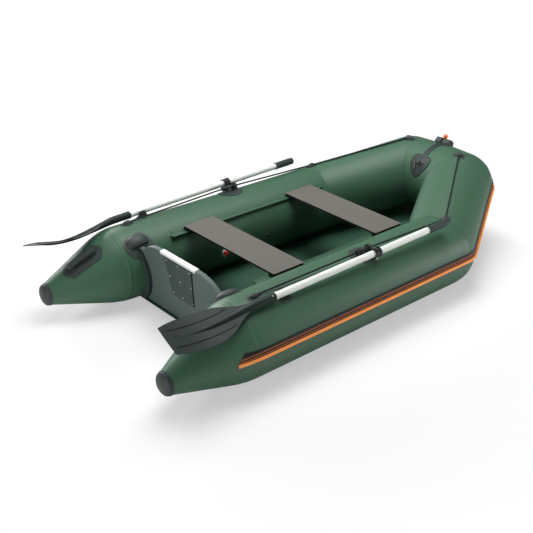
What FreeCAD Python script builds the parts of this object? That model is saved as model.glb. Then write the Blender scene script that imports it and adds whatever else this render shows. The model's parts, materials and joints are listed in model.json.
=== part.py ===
import FreeCAD, Part
import math
import os

from FreeCAD import Placement, Rotation, Vector

# Inflatable rowing boat of 2.80 m: two side tubes and a raised bow tube, a flat
# fabric bottom, a wooden transom, two bench boards and a pair of stowed oars.
# Millimetres. +X is forward, +Y is port, +Z is up. The origin lies on the ground
# below the middle of the hull. Paired pieces are built to port and mirrored.

# Hull tubes
BEAM = 1511.4
TUBE_RADIUS = 214.3
TOE_IN = 0.862
SHOULDER_X = 600.3
BOW_CORNER_X = 1143.8
BOW_CORNER_Y = 197.0
BOW_RISE = 161.2
NOSE_X = 1162.2
HULL_AFT_X = -1398.0
CONE_START_X = -970.0
CONE_BLEND = 80.0
CONE_END_X = -1372.0
CONE_END_RADIUS = 57.6
CONE_TOE_OUT = 19.9
CONE_END_DROP = 53.2
CONE_STATIONS = 8
CAP_SKIRT = 7.0
CAP_WALL = 2.7
SEAT_GAP = 0.3
TINY_GAP = 0.15
OVERRUN = 40.0

# Bottom sheet
SHEET_Z = 20.0
SHEET_THICKNESS = 4.0
SHEET_AFT_MARGIN = 34.0
SHEET_FRONT_X = 1150.0

# Transom
TRANSOM_X = -815.0
TRANSOM_LEAN = 7.4
BOARD_THICKNESS = 25.0
BOARD_TOP = 430.0
BOARD_FLAT_HALF = 168.0
BOARD_CROWN_DROP = 12.4
BOARD_SHOULDER_Y = 338.0
BOARD_SHOULDER_Z = 368.0
MOTOR_PLATE_TOP_WIDTH = 252.0
MOTOR_PLATE_LOW_WIDTH = 194.0
MOTOR_PLATE_TOP_Z = 411.0
MOTOR_PLATE_HEIGHT = 232.0
MOTOR_PLATE_THICKNESS = 4.0
INNER_PLATE_DROP = 36.0
INNER_PLATE_HEIGHT = 150.0
STRIP_LENGTH = 314.0
STRIP_WALL = 2.0
STRIP_LEG = 14.0
CHANNEL_DEPTH = 24.0
CHANNEL_WIDTH = 78.0
CHANNEL_SHIFT = 6.0
CHANNEL_TOP_ANGLE = 56.0
CHANNEL_LOW_ANGLE = 150.0
CHANNEL_FLOOR = 10.0
HOOD_X = -866.0
HOOD_ANGLE = -41.5
HOOD_HALF_LENGTH = 85.0
HOOD_HALF_WIDTH = 70.0
HOOD_PAD_THICKNESS = 3.0
HOOD_DOME_LENGTH = 140.0
HOOD_DOME_WIDTH = 92.0
HOOD_DOME_HEIGHT = 30.0
HOOD_DOME_SHIFT = 10.0
HOOD_CUT_Y = -15.0
HOOD_CUT_TURN = 5.0
HOOD_LIP_WIDTH = 12.0
HOOD_LIP_HEIGHT = 14.0

# Bench boards, their rails and brackets
BENCH_WIDTH = 210.0
BENCH_THICKNESS = 12.0
BENCH_END_GAP = 3.0
REAR_BENCH_X = -559.0
FRONT_BENCH_X = 201.0
BENCH_CORNER = 8.0
RAIL_AFT_X = -661.0
RAIL_FRONT_X = 492.0
RAIL_ANGLE = -47.8
RAIL_BEAD_RADIUS = 6.0
RAIL_STAND_OFF = 15.2
RAIL_SHELF = 3.0
RAIL_SHELF_REACH = 34.0
RAIL_FOOT = 17.0
RAIL_FOOT_DROP = 40.0
RAIL_FLANGE_REACH = 53.0
RAIL_FLANGE_THICKNESS = 1.6
RAIL_BEVEL = 22.0
BRACKET_WIDTH = 26.0
BRACKET_LENGTH = 190.0
BRACKET_DROP = 13.0
BRACKET_ROOF = 15.5
BEAD_CLEARANCE = 0.5

# Rub strake
BEAD_RADIUS = 9.0
BEAD_PROUD = 13.0
BEAD_ANGLE = 0.5
STRAKE_THICKNESS = 3.0
STRAKE_LOW = 13.3
STRAKE_HIGH = 48.9
STRAKE_AFT_X = -1041.0
STRAKE_RAKE = 20.0

# Rope holders and grab lines
ROPE_RADIUS = 5.0
HOLDER_LENGTH = 62.0
HOLDER_WIDTH = 34.0
HOLDER_HEIGHT = 22.0
HOLDER_PAD_LENGTH = 84.0
HOLDER_PAD_WIDTH = 54.0
HOLDER_PAD_THICKNESS = 2.0
ROPE_HOLE_CLEARANCE = 0.3
ROPE_HEIGHT = 8.6
STERN_HOLDER_X = -829.0
STERN_HOLDER_ANGLE = 6.8
SHOULDER_HOLDER_X = 584.0
SHOULDER_HOLDER_ANGLE = 12.2
BOW_HOLDER_LEAN = 7.7
BOW_HOLDER_SHIFT = 10.0
ROPE_BEND_REACH = 28.0

# Carry handles on the cones
HANDLE_X = -1160.0
HANDLE_ANGLE = -19.0
HANDLE_PAD_LENGTH = 250.0
HANDLE_PAD_WIDTH = 112.0
HANDLE_PAD_THICKNESS = 3.0
HANDLE_GRIP_LENGTH = 172.0
HANDLE_GRIP_WIDTH = 30.0
HANDLE_GRIP_THICKNESS = 13.0
HANDLE_RISE = 35.0
HANDLE_FOOT = 34.0

# Bow fittings
TOW_PATCH_ANGLE = -56.0
TOW_PATCH_HALF_LENGTH = 72.0
TOW_PATCH_HALF_WIDTH = 70.0
TOW_PATCH_THICKNESS = 3.0
TOW_RING_ANGLE = -52.0
TOW_RING_SIDE = 60.0
TOW_RING_WIRE = 4.0
TOW_RING_ROUNDING = 10.0
TOW_RING_LIFT = 17.0
TOW_LUG_WIDTH = 20.0
TOW_LUG_WALL = 4.0
TOW_RING_CLEARANCE = 1.0
GUIDE_WIDTH = 36.0
GUIDE_THICKNESS = 4.0
GUIDE_GROOVE = 8.0
GUIDE_GROOVE_DEPTH = 2.0
GUIDE_AFT_ANGLE = -35.0
LOCK_ANGLE = 14.0
LOCK_LENGTH = 72.0
LOCK_WIDTH = 96.0
LOCK_HEIGHT = 38.0
LOCK_FOOT = 6.0
LOCK_SLOT = 14.0
KNOB_BALL_RADIUS = 15.0
KNOB_HEIGHT = 48.0
KNOB_STEM_RADIUS = 6.0
KNOB_STEM_LENGTH = 28.0
ROLLER_RADIUS = 9.0
ROLLER_PROUD = 4.0
ROLLER_PLACE = 18.0

# Valves and the lug on the tube's inner side
VALVE_X = -319.0
VALVE_ANGLE = -99.7
VALVE_RADIUS = 27.0
VALVE_THICKNESS = 8.0
VALVE_CAP_RADIUS = 17.0
VALVE_CAP_HEIGHT = 9.0
STRAP_LUG_X = 6.0
STRAP_LUG_ANGLE = -95.0
STRAP_LUG_LENGTH = 34.0
STRAP_LUG_WIDTH = 22.0
STRAP_LUG_HEIGHT = 9.0

# Oarlock
OARLOCK_X = -64.0
OARLOCK_ANGLE = 25.6
OARLOCK_PAD_X = -89.0
OARLOCK_PAD_ANGLE = 10.0
OARLOCK_PAD_LENGTH = 160.0
OARLOCK_PAD_WIDTH = 140.0
OARLOCK_PAD_THICKNESS = 3.0
PIVOT_ANGLE = 11.1
PIVOT_HEIGHT = 27.5
PIVOT_PIN_RADIUS = 9.0
LUG_RADIUS = 14.0
AFT_LUG_WIDTH = 20.0
FORE_LUG_RADIUS = 23.0
FORE_LUG_WIDTH = 16.0
BARREL_BACK = 23.0
BARREL_FRONT = 5.5
KNOB_RADIUS = 15.0
KNOB_LENGTH = 34.0
PIN_END_LENGTH = 4.0
PIN_CLEARANCE = 0.05
SIDE_CLEARANCE = 0.5
PIN_LEAN = 16.0
ARM_TOP = 34.5
ARM_THICKNESS = 8.5
ARM_WAIST = 26.0
BOSS_RADIUS = 14.0
UPRIGHT_RADIUS = 7.0
UPRIGHT_TOP = 22.5
HUB_RADIUS = 15.0

# Oars
SHAFT_HEIGHT = 50.6
SHAFT_RADIUS = 18.5
SHAFT_FRONT = 548.0
GRIP_LENGTH = 146.0
GRIP_RADIUS = 20.5
GRIP_FLANGE_RADIUS = 23.0
GRIP_FLANGE_LENGTH = 6.0
GRIP_END_WALL = 8.0
GRIP_END_ROUNDING = 6.0
SOCKET_FRONT = -701.0
SOCKET_OVERLAP = 60.0
SOCKET_WALL = 3.0
OAR_FIT = 0.3
OAR_PITCH = 1.42
OAR_YAW = 0.39
BLADE_TIP = -1337.5
BLADE_SLANT = 7.0
BLADE_NECK = -826.0
BLADE_HALF_WIDTH = 98.0
BLADE_THICKNESS = 5.0
BLADE_DIP = 26.0
SPINE_END_RADIUS = 5.0
RIB_WIDTH = 7.0
RIB_HEIGHT = 4.0
RIB_START = -962.0
RIB_END = -1308.0
RIB_TAPER = 40.0
RIB_OUT = 50.0
COLLAR_LENGTH = 42.0
COLLAR_WALL = 5.0
COLLAR_RIM = 3.5

# Oar clip
CLIP_X = -695.0
CLIP_PAD_SIZE = 82.0
CLIP_PAD_THICKNESS = 3.0
CLIP_LENGTH = 34.0
CLIP_BASE_LENGTH = 55.0
CLIP_WALL = 8.0
CLIP_GAP = 5.5
CLIP_OUTBOARD = 34.0

# Outlines in shares of the sizes that they follow
BLADE_OUTLINE_SHARES = (
    (0.00, 0.22), (0.07, 0.25), (0.185, 0.44), (0.28, 0.70),
    (0.40, 0.94), (0.52, 1.01), (0.77, 1.00), (1.00, 0.77),
)
SPOON_SHARES = (
    (-0.10, 0.0), (0.0, 0.02), (0.24, 0.59), (0.42, 1.0), (0.615, 0.91), (0.865, -0.05), (1.00, -0.75),
)
SPINE_SHARES = ((0.0, 1.0), (0.25, 0.75), (0.55, 0.52))
SPINE_END_SHARE = 0.90
HANDLE_PAD_SHARES = ((-1.0, -0.25), (-0.72, -1.0), (0.72, -1.0), (1.0, -0.25), (1.0, 0.25), (0.72, 1.0),
                     (-0.72, 1.0), (-1.0, 0.25))
HOOD_PAD_SHARES = ((0.47, 1.0), (-0.35, 0.82), (-1.0, 0.30), (-0.92, -0.50), (-0.60, -1.0), (0.30, -0.80),
                   (1.0, -0.39), (0.88, 0.42))
TOW_PATCH_SHARES = ((1.0, 0.45), (0.92, 0.80), (0.50, 1.0), (0.0, 0.84), (-0.55, 0.42), (-1.0, 0.0))
TOW_PATCH_TOP_SHARE = 0.90
LOCK_SHARES = ((-0.5, 0.40), (-0.26, 1.0), (0.20, 0.88), (0.5, 0.50))

X_AXIS = Vector(1, 0, 0)
Y_AXIS = Vector(0, 1, 0)
Z_AXIS = Vector(0, 0, 1)

# Places that follow from the sizes above
TOE = Rotation(Z_AXIS, -TOE_IN)
TUBE_FRAME = Placement(Vector(CONE_START_X, BEAM / 2.0 - TUBE_RADIUS, TUBE_RADIUS), TOE)
BLEND_X = CONE_START_X + CONE_BLEND
BOW_CORNER = Vector(BOW_CORNER_X, BOW_CORNER_Y, TUBE_RADIUS + BOW_RISE)
NOSE = Vector(NOSE_X, 0, TUBE_RADIUS + BOW_RISE)
SHEET_TOP = SHEET_Z + SHEET_THICKNESS


def mirrored(shape):
    """The same piece on the starboard side."""
    return shape.mirror(Vector(0, 0, 0), Y_AXIS)


def starboard(point):
    return Vector(point.x, -point.y, point.z)


def station(x):
    """Place along the port tube's axis, counted from the start of the cone."""
    return (x - CONE_START_X) / math.cos(math.radians(TOE_IN))


def axis_point(x):
    return TUBE_FRAME.multVec(Vector(station(x), 0, 0))


SHOULDER = axis_point(SHOULDER_X)


def on_tube(x, angle):
    """Frame on the port tube's surface: along the boat, outboard along the skin, outward.

    The angle is counted from straight up, positive to outboard.
    """
    turn = math.radians(angle)
    place = Vector(station(x), TUBE_RADIUS * math.sin(turn), TUBE_RADIUS * math.cos(turn))
    return TUBE_FRAME.multiply(Placement(place, Rotation(X_AXIS, -angle)))


def placed(shape, placement):
    moved = shape.copy()
    moved.Placement = placement.multiply(moved.Placement)
    return moved


def frame_along(base, along, side):
    """Frame with its x along, its y to the side and its z square to both."""
    x = Vector(along).normalize()
    z = x.cross(side).normalize()
    y = z.cross(x)
    frame = Placement(FreeCAD.Matrix(x.x, y.x, z.x, 0, x.y, y.y, z.y, 0, x.z, y.z, z.z, 0, 0, 0, 0, 1))
    frame.Base = base
    return frame


def polygon_prism(points, height, start=0.0):
    """Prism over a closed outline of (x, y) pairs, from height start upwards."""
    corners = [Vector(x, y, start) for x, y in points]
    return Part.Face(Part.makePolygon(corners + corners[:1])).extrude(Vector(0, 0, height))


def side_prism(points, width, start):
    """Prism over a closed outline of (x, z) pairs, from y start to port."""
    corners = [Vector(x, start, z) for x, z in points]
    return Part.Face(Part.makePolygon(corners + corners[:1])).extrude(Vector(0, width, 0))


def cross_prism(points, length, start):
    """Prism over a closed outline of (y, z) pairs, from x start forward."""
    corners = [Vector(start, y, z) for y, z in points]
    return Part.Face(Part.makePolygon(corners + corners[:1])).extrude(Vector(length, 0, 0))


def smooth_prism(points, height, start):
    """Prism over one closed smooth outline of (x, y) pairs."""
    curve = Part.BSplineCurve()
    curve.interpolate(Points=[Vector(x, y, start) for x, y in points], PeriodicFlag=True)
    return Part.Face(Part.Wire([curve.toShape()])).extrude(Vector(0, 0, height))


def ellipse_prism(length, width, height, start=0.0):
    edge = Part.Ellipse(Vector(0, 0, start), length / 2, width / 2).toShape()
    return Part.Face(Part.Wire([edge])).extrude(Vector(0, 0, height))


def ellipsoid(length, width, height):
    """Whole ellipsoid round the origin."""
    shape = FreeCAD.Matrix()
    shape.scale(length / 2, width / 2, height)
    return Part.makeSphere(1.0).transformGeometry(shape)


def box_between(low, high):
    size = high - low
    return Part.makeBox(size.x, size.y, size.z, low)


def largest(shape):
    return max(shape.Solids, key=lambda s: s.Volume)


def pipe(points, radius):
    """Round tube along straight runs, with ball-shaped elbows on the outside of each bend."""
    runs = [Part.LineSegment(a, b).toShape() for a, b in zip(points, points[1:])]
    section = Part.Wire([Part.makeCircle(radius, points[0], points[1] - points[0])])
    return Part.Wire(runs).makePipeShell([section], True, False, 2)


def tube_axis():
    port = [axis_point(BLEND_X), SHOULDER, BOW_CORNER]
    return port + [NOSE] + [starboard(p) for p in reversed(port)]


def hull_pipe(offset=0.0):
    """The side and bow tubes in one, grown by an offset."""
    return pipe(tube_axis(), TUBE_RADIUS + offset)


def taper(x):
    """Share of the cone's narrowing at a place, with a soft start over the blend."""
    way = CONE_START_X - x
    if way < -CONE_BLEND:
        run = 0.0
    elif way < CONE_BLEND:
        run = (way + CONE_BLEND) ** 2 / (4 * CONE_BLEND)
    else:
        run = way
    return run / (CONE_START_X - CONE_END_X)


def cone_radius(x):
    return TUBE_RADIUS + (CONE_END_RADIUS - TUBE_RADIUS) * taper(x)


def cone_place(x):
    """Centre of the cone in the tube's own frame."""
    return Vector(station(x), CONE_TOE_OUT * taper(x), -CONE_END_DROP * taper(x))


def cone_surface(x, angle, offset=0.0):
    turn = math.radians(angle)
    out = Vector(0, math.sin(turn), math.cos(turn))
    return TUBE_FRAME.multVec(cone_place(x) + out * (cone_radius(x) + offset))


def cone(offset=0.0, start=BLEND_X, end=CONE_END_X):
    """Stretch of the tapering stern end of the port tube, grown by an offset."""
    bend_end = CONE_START_X - CONE_BLEND

    def stretch(places, ruled):
        rings = [Part.makeCircle(cone_radius(x) + offset, cone_place(x), X_AXIS) for x in places]
        return Part.makeLoft([Part.Wire([ring]) for ring in rings], True, ruled)

    pieces = []
    if start > bend_end:
        stop = max(end, bend_end)
        step = (stop - start) / CONE_STATIONS
        pieces.append(stretch([start + step * i for i in range(CONE_STATIONS + 1)], False))
    if end < bend_end:
        pieces.append(stretch([min(start, bend_end), end], True))
    whole = pieces[0] if len(pieces) == 1 else pieces[0].fuse(pieces[1:])
    return placed(whole, TUBE_FRAME)


def side_tube(offset=0.0, start=BLEND_X, end=SHOULDER_X):
    low = station(start)
    tube = Part.makeCylinder(TUBE_RADIUS + offset, station(end) - low, Vector(low, 0, 0), X_AXIS)
    return placed(tube, TUBE_FRAME)


def tube_skin(gap, thickness, start, end):
    """Thin shell around a stretch of the port side tube."""
    return side_tube(gap + thickness, start, end).cut(side_tube(gap, start - OVERRUN, end + OVERRUN))


def tube_pad(outline, x, angle, reach, thickness, gap=SEAT_GAP):
    """Patch that follows the tube: a local prism cut out of a thin shell."""
    return tube_skin(gap, thickness, x - reach, x + reach).common(placed(outline, on_tube(x, angle)))


def tube_side_y(x, z):
    """Distance from the middle of the boat to the tube's inner side at a height."""
    return axis_point(x).y - math.sqrt(TUBE_RADIUS ** 2 - (z - TUBE_RADIUS) ** 2)


def shoulder_plane_block():
    """All of the space forward of the mitre between the port side tube and the bow tube."""
    along = (SHOULDER - axis_point(BLEND_X)).normalize() + (BOW_CORNER - SHOULDER).normalize()
    size = BEAM * 2
    block = Part.makeBox(size, size, size, Vector(0, -size / 2, -size / 2))
    block.Placement = Placement(SHOULDER, Rotation(X_AXIS, along))
    return block


def build_tubes():
    pipe_solid = hull_pipe()
    forward = shoulder_plane_block()
    forward_far = mirrored(forward)
    half = box_between(Vector(-BEAM * 2, TINY_GAP, -BEAM), Vector(BEAM * 2, BEAM * 2, BEAM * 2))
    side = pipe_solid.common(half).cut(forward)
    side = side.fuse(cone()).removeSplitter()
    bow = pipe_solid.common(forward).common(forward_far)
    return {"tube_port": side, "tube_starboard": mirrored(side), "tube_bow": bow}


def build_cone_cap():
    """Moulded end cap: a short skirt over the cone's end and a low dome behind it."""
    skirt_start = CONE_END_X + CAP_SKIRT
    outer = cone(CAP_WALL + SEAT_GAP, skirt_start, CONE_END_X)
    inner = cone(SEAT_GAP, skirt_start + OVERRUN, CONE_END_X)
    skirt = outer.cut(inner)
    depth = CONE_END_X - SEAT_GAP - HULL_AFT_X
    radius = CONE_END_RADIUS + CAP_WALL + SEAT_GAP
    dome = Part.makeSphere(radius, Vector(0, 0, 0), Z_AXIS, 0, 90, 360)
    squash = FreeCAD.Matrix()
    squash.scale(1.0, 1.0, depth / radius)
    dome = dome.transformGeometry(squash)
    end = cone_place(CONE_END_X)
    dome.Placement = Placement(end - Vector(SEAT_GAP, 0, 0), Rotation(Z_AXIS, -X_AXIS))
    joint = Part.makeCylinder(radius, SEAT_GAP, end, -X_AXIS)
    return skirt.fuse([placed(joint, TUBE_FRAME), placed(dome, TUBE_FRAME)]).removeSplitter()


def sheet_rise():
    """Slope of the bottom forward of the shoulders, where it runs up to touch the bow tube from below."""
    run = NOSE.x - SHOULDER.x
    lift = NOSE.z - SHEET_TOP
    reach = math.hypot(run, lift)
    return math.atan2(lift, run) - math.asin((TUBE_RADIUS + SEAT_GAP) / reach)


def build_bottom(hull_cutter):
    """Fabric bottom, level up to the shoulders and rising with the tubes to the bow."""
    aft = TRANSOM_X - SHEET_AFT_MARGIN
    climb = (SHEET_FRONT_X - SHOULDER.x) * math.tan(sheet_rise())
    low = [(aft, SHEET_Z), (SHOULDER.x, SHEET_Z), (SHEET_FRONT_X, SHEET_Z + climb)]
    outline = low + [(x, z + SHEET_THICKNESS) for x, z in reversed(low)]
    sheet = side_prism(outline, BEAM, -BEAM / 2)
    inside = polygon_prism([(p.x, p.y) for p in tube_axis()], BEAM)
    return largest(sheet.common(inside).cut(hull_cutter))


def transom_frame():
    """Frame of the transom: across to port, up the board, and aft out of its outer face."""
    lean = Rotation(Y_AXIS, -TRANSOM_LEAN)
    return Placement(Vector(TRANSOM_X, 0, 0), lean)


def transom_slab(outline, start, thickness):
    """Plate parallel to the transom from (across, up) pairs; start is counted forward of its mid-plane."""
    return placed(cross_prism(outline, thickness, start), transom_frame())


def board_outline():
    """Outline of the transom board in its own plane, wider than the tubes leave room for."""
    lean = math.radians(TRANSOM_LEAN)
    bottom = (SHEET_TOP + SEAT_GAP + BOARD_THICKNESS / 2 * math.sin(lean)) / math.cos(lean)
    shoulder = Vector(0, BOARD_FLAT_HALF, BOARD_TOP)
    low = Vector(0, BOARD_SHOULDER_Y, BOARD_SHOULDER_Z)
    middle = Vector(0, (shoulder.y + low.y) / 2, BOARD_TOP - BOARD_CROWN_DROP)
    side_y = BEAM / 2 - TUBE_RADIUS
    side = Vector(0, side_y, BOARD_SHOULDER_Z)
    foot = Vector(0, side_y, bottom)
    edges = [
        Part.LineSegment(starboard(shoulder), shoulder).toShape(),
        Part.Arc(shoulder, middle, low).toShape(),
        Part.LineSegment(low, side).toShape(),
        Part.LineSegment(side, foot).toShape(),
        Part.LineSegment(foot, starboard(foot)).toShape(),
        Part.LineSegment(starboard(foot), starboard(side)).toShape(),
        Part.LineSegment(starboard(side), starboard(low)).toShape(),
        Part.Arc(starboard(low), starboard(middle), starboard(shoulder)).toShape(),
    ]
    return Part.Wire(edges)


def build_transom():
    """The board, its two motor plates, its edge strip, and the room that the board needs in the channel."""
    face = Part.Face(board_outline())
    outer_face = -BOARD_THICKNESS / 2
    whole = face.extrude(Vector(BOARD_THICKNESS, 0, 0))
    whole.translate(Vector(outer_face, 0, 0))
    wide = face.makeOffset2D(SEAT_GAP)
    room = wide.extrude(Vector(BOARD_THICKNESS + SEAT_GAP * 2, 0, 0))
    room.translate(Vector(outer_face - SEAT_GAP, 0, 0))
    room = placed(room, transom_frame()).cut(side_tube(CHANNEL_FLOOR + SEAT_GAP))
    tubes = side_tube(CHANNEL_FLOOR + SEAT_GAP * 2)
    board = placed(whole, transom_frame()).cut(tubes).cut(mirrored(tubes))
    half_top = MOTOR_PLATE_TOP_WIDTH / 2
    half_low = MOTOR_PLATE_LOW_WIDTH / 2
    low = MOTOR_PLATE_TOP_Z - MOTOR_PLATE_HEIGHT
    plate = [(-half_top, MOTOR_PLATE_TOP_Z), (half_top, MOTOR_PLATE_TOP_Z), (half_low, low), (-half_low, low)]
    outer = transom_slab(plate, outer_face - MOTOR_PLATE_THICKNESS, MOTOR_PLATE_THICKNESS)
    inner_top = MOTOR_PLATE_TOP_Z - INNER_PLATE_DROP
    inner_low = inner_top - INNER_PLATE_HEIGHT
    plate = [(-half_top, inner_top), (half_top, inner_top), (half_low, inner_low), (-half_low, inner_low)]
    inner = transom_slab(plate, -outer_face, MOTOR_PLATE_THICKNESS)
    half = STRIP_LENGTH / 2
    outside = transom_slab(
        [(-half, BOARD_TOP - STRIP_LEG), (half, BOARD_TOP - STRIP_LEG),
         (half, BOARD_TOP + STRIP_WALL), (-half, BOARD_TOP + STRIP_WALL)],
        outer_face - STRIP_WALL, BOARD_THICKNESS + STRIP_WALL * 2)
    inside = transom_slab(
        [(-half - OVERRUN, -OVERRUN), (half + OVERRUN, -OVERRUN),
         (half + OVERRUN, BOARD_TOP), (-half - OVERRUN, BOARD_TOP)],
        outer_face, BOARD_THICKNESS)
    return board, outer, inner, outside.cut(inside), room


def build_transom_channel(board_room):
    """Moulded channel down the tube's inner side that takes the edge of the transom board."""
    radius = TUBE_RADIUS + CHANNEL_DEPTH
    start = CHANNEL_SHIFT - CHANNEL_WIDTH / 2
    ring = Part.makeCylinder(radius, CHANNEL_WIDTH, Vector(start, 0, 0), X_AXIS)
    high = math.radians(CHANNEL_TOP_ANGLE)
    low = math.radians(CHANNEL_LOW_ANGLE)
    far = radius * 2
    wedge = [(0, 0), (-far * math.sin(high), far * math.cos(high)), (-far, -far / 2),
             (-far * math.sin(low), far * math.cos(low))]
    ring = ring.common(cross_prism(wedge, CHANNEL_WIDTH * 2, -CHANNEL_WIDTH))
    centre = axis_point(TRANSOM_X - TUBE_RADIUS * math.tan(math.radians(TRANSOM_LEAN)))
    ring.Placement = Placement(centre, Rotation(Y_AXIS, -TRANSOM_LEAN))
    keep = Part.makeBox(BEAM, centre.y, BEAM, Vector(-BEAM, 0, SHEET_TOP + SEAT_GAP))
    tube = side_tube(SEAT_GAP, BLEND_X - OVERRUN)
    return largest(ring.cut(tube).cut(board_room).common(keep))


def build_transom_hood(cutters):
    """Hood on the tube's inner shoulder over the corner of the transom: a pad, a cut dome and a lip."""
    frame = on_tube(HOOD_X, HOOD_ANGLE)
    outline = [(HOOD_HALF_LENGTH * a, HOOD_HALF_WIDTH * b) for a, b in HOOD_PAD_SHARES]
    prism = placed(smooth_prism(outline, TUBE_RADIUS, -TUBE_RADIUS / 2), frame)
    reach = HOOD_HALF_LENGTH + OVERRUN
    thickness = SEAT_GAP + HOOD_PAD_THICKNESS
    grown = side_tube(thickness, BLEND_X, HOOD_X + reach).fuse(cone(thickness, BLEND_X, HOOD_X - reach))
    pad = grown.common(prism)
    dome = ellipsoid(HOOD_DOME_LENGTH, HOOD_DOME_WIDTH, HOOD_DOME_HEIGHT)
    dome.translate(Vector(0, HOOD_DOME_SHIFT, 0))
    far = TUBE_RADIUS
    below = box_between(Vector(-far, HOOD_CUT_Y - far, -far), Vector(far, HOOD_CUT_Y, far))
    ledge = box_between(Vector(-far, HOOD_CUT_Y - HOOD_LIP_WIDTH * 2, -far),
                        Vector(far, HOOD_CUT_Y - HOOD_LIP_WIDTH, HOOD_LIP_HEIGHT))
    turn = Placement(Vector(0, 0, 0), Rotation(Z_AXIS, HOOD_CUT_TURN))
    lip = dome.common(placed(ledge, turn))
    dome = placed(dome.cut(placed(below, turn)).fuse(lip), frame)
    hood = pad.fuse(dome).cut(side_tube(SEAT_GAP)).cut(cone(SEAT_GAP, BLEND_X, HOOD_X - reach - OVERRUN))
    for cutter in cutters:
        hood = hood.cut(cutter)
    return largest(hood)


def bead_centre():
    """Centre of the rail's bead, which runs straight fore and aft past the toed-in tube."""
    turn = math.radians(RAIL_ANGLE)
    reach = TUBE_RADIUS + RAIL_STAND_OFF
    middle = axis_point((RAIL_AFT_X + RAIL_FRONT_X) / 2)
    return Vector(0, middle.y + reach * math.sin(turn), TUBE_RADIUS + reach * math.cos(turn))


def bench_underside():
    return bead_centre().z + BRACKET_ROOF


def bench_half_length(x):
    """Half of the bench board that lies between the tubes at its own place."""
    return tube_side_y(x + BENCH_WIDTH, bench_underside()) - BENCH_END_GAP


def build_bench(x):
    low = bench_underside()
    half = bench_half_length(x)
    board = box_between(Vector(x, -half, low), Vector(x + BENCH_WIDTH, half, low + BENCH_THICKNESS))
    upright = [e for e in board.Edges if abs(e.tangentAt(0).z) > 0.5]
    return board.makeFillet(BENCH_CORNER, upright)


def build_rail(hull_cutter):
    """Rail for the benches: a round bead on a shelf, with a foot and a flange glued to the tube."""
    centre = bead_centre()
    length = RAIL_FRONT_X - RAIL_AFT_X
    bead = Part.makeCylinder(RAIL_BEAD_RADIUS, length, Vector(RAIL_AFT_X, centre.y, centre.z), X_AXIS)
    half = RAIL_SHELF / 2
    profile = [(0, half), (RAIL_SHELF_REACH, half), (RAIL_SHELF_REACH, -RAIL_FOOT_DROP),
               (RAIL_FOOT, -RAIL_FOOT_DROP), (RAIL_FOOT, -half), (0, -half)]
    web = cross_prism([(centre.y + y, centre.z + z) for y, z in profile], length, RAIL_AFT_X)
    inner = centre.y + RAIL_FOOT
    outer = centre.y + RAIL_FLANGE_REACH
    plan = [(RAIL_AFT_X, inner), (RAIL_FRONT_X, inner), (RAIL_FRONT_X - RAIL_BEVEL, outer),
            (RAIL_AFT_X, outer), (RAIL_AFT_X + RAIL_BEVEL, (inner + outer) / 2)]
    skin = tube_skin(SEAT_GAP, RAIL_FLANGE_THICKNESS, RAIL_AFT_X - OVERRUN, RAIL_FRONT_X + OVERRUN)
    flange = skin.common(polygon_prism(plan, TUBE_RADIUS, TUBE_RADIUS))
    return bead.fuse([web, flange]).cut(hull_cutter).removeSplitter()


def build_bracket(x):
    """Channel under a bench end that slides on the rail's bead."""
    centre = bead_centre()
    start = x + (BENCH_WIDTH - BRACKET_LENGTH) / 2
    end = start + BRACKET_LENGTH
    inner = centre.y - BRACKET_WIDTH / 2
    jaw = centre.y + BRACKET_WIDTH / 2
    block = box_between(Vector(start, inner, centre.z - BRACKET_DROP), Vector(end, jaw, bench_underside()))
    roof_low = centre.z + RAIL_BEAD_RADIUS + BEAD_CLEARANCE
    outer_end = Vector(end, bench_half_length(x), bench_underside())
    roof = box_between(Vector(start, centre.y, roof_low), outer_end)
    bore = Part.makeCylinder(RAIL_BEAD_RADIUS + BEAD_CLEARANCE, end - start + OVERRUN * 2,
                             Vector(start - OVERRUN, centre.y, centre.z), X_AXIS)
    half = RAIL_SHELF / 2 + BEAD_CLEARANCE
    slot_start = Vector(start - OVERRUN, centre.y, centre.z - half)
    slot = box_between(slot_start, Vector(end + OVERRUN, jaw * 2, centre.z + half))
    tube = side_tube(RAIL_FLANGE_THICKNESS + SEAT_GAP * 2)
    return largest(block.fuse(roof).cut(bore).cut(slot).cut(tube).removeSplitter())


def run_side(start, end):
    """Level direction out of the hull for a run of the tubes' axis."""
    return Z_AXIS.cross(end - start).normalize()


def strake_slabs():
    """Slabs that hold the strake's band on each run of the port half and round each bend."""
    reach = TUBE_RADIUS * 2
    height = STRAKE_HIGH + STRAKE_LOW
    low = TUBE_RADIUS - STRAKE_LOW
    overlap = BLEND_X + OVERRUN
    tail = [(STRAKE_AFT_X - STRAKE_RAKE, low), (overlap, low), (overlap, low + height),
            (STRAKE_AFT_X + STRAKE_RAKE, low + height)]
    slabs = [side_prism(tail, reach, axis_point(BLEND_X).y)]
    corners = tube_axis()[:5]
    sides = [run_side(a, b) for a, b in zip(corners, corners[1:])]
    for start, end, side in zip(corners[:3], corners[1:4], sides):
        slab = Part.makeBox((end - start).Length, reach, height, Vector(0, 0, -STRAKE_LOW))
        slabs.append(placed(slab, frame_along(start, end - start, side)))
    for corner, before, after in zip(corners[1:4], sides, sides[1:]):
        fan = [corner, corner + before * reach, corner + after * reach]
        slabs.append(polygon_prism([(p.x, p.y) for p in fan], height, corner.z - STRAKE_LOW))
    return slabs


def strake_shell(inner, outer):
    """Shell around the tubes and the front of the cones between two offsets."""
    back = STRAKE_AFT_X - OVERRUN * 2
    grown = cone(outer, BLEND_X, back)
    hollow = cone(inner, BLEND_X + OVERRUN, back - OVERRUN)
    shell = hull_pipe(outer).fuse([grown, mirrored(grown)])
    return shell.cut(hull_pipe(inner)).cut(hollow).cut(mirrored(hollow))


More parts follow.
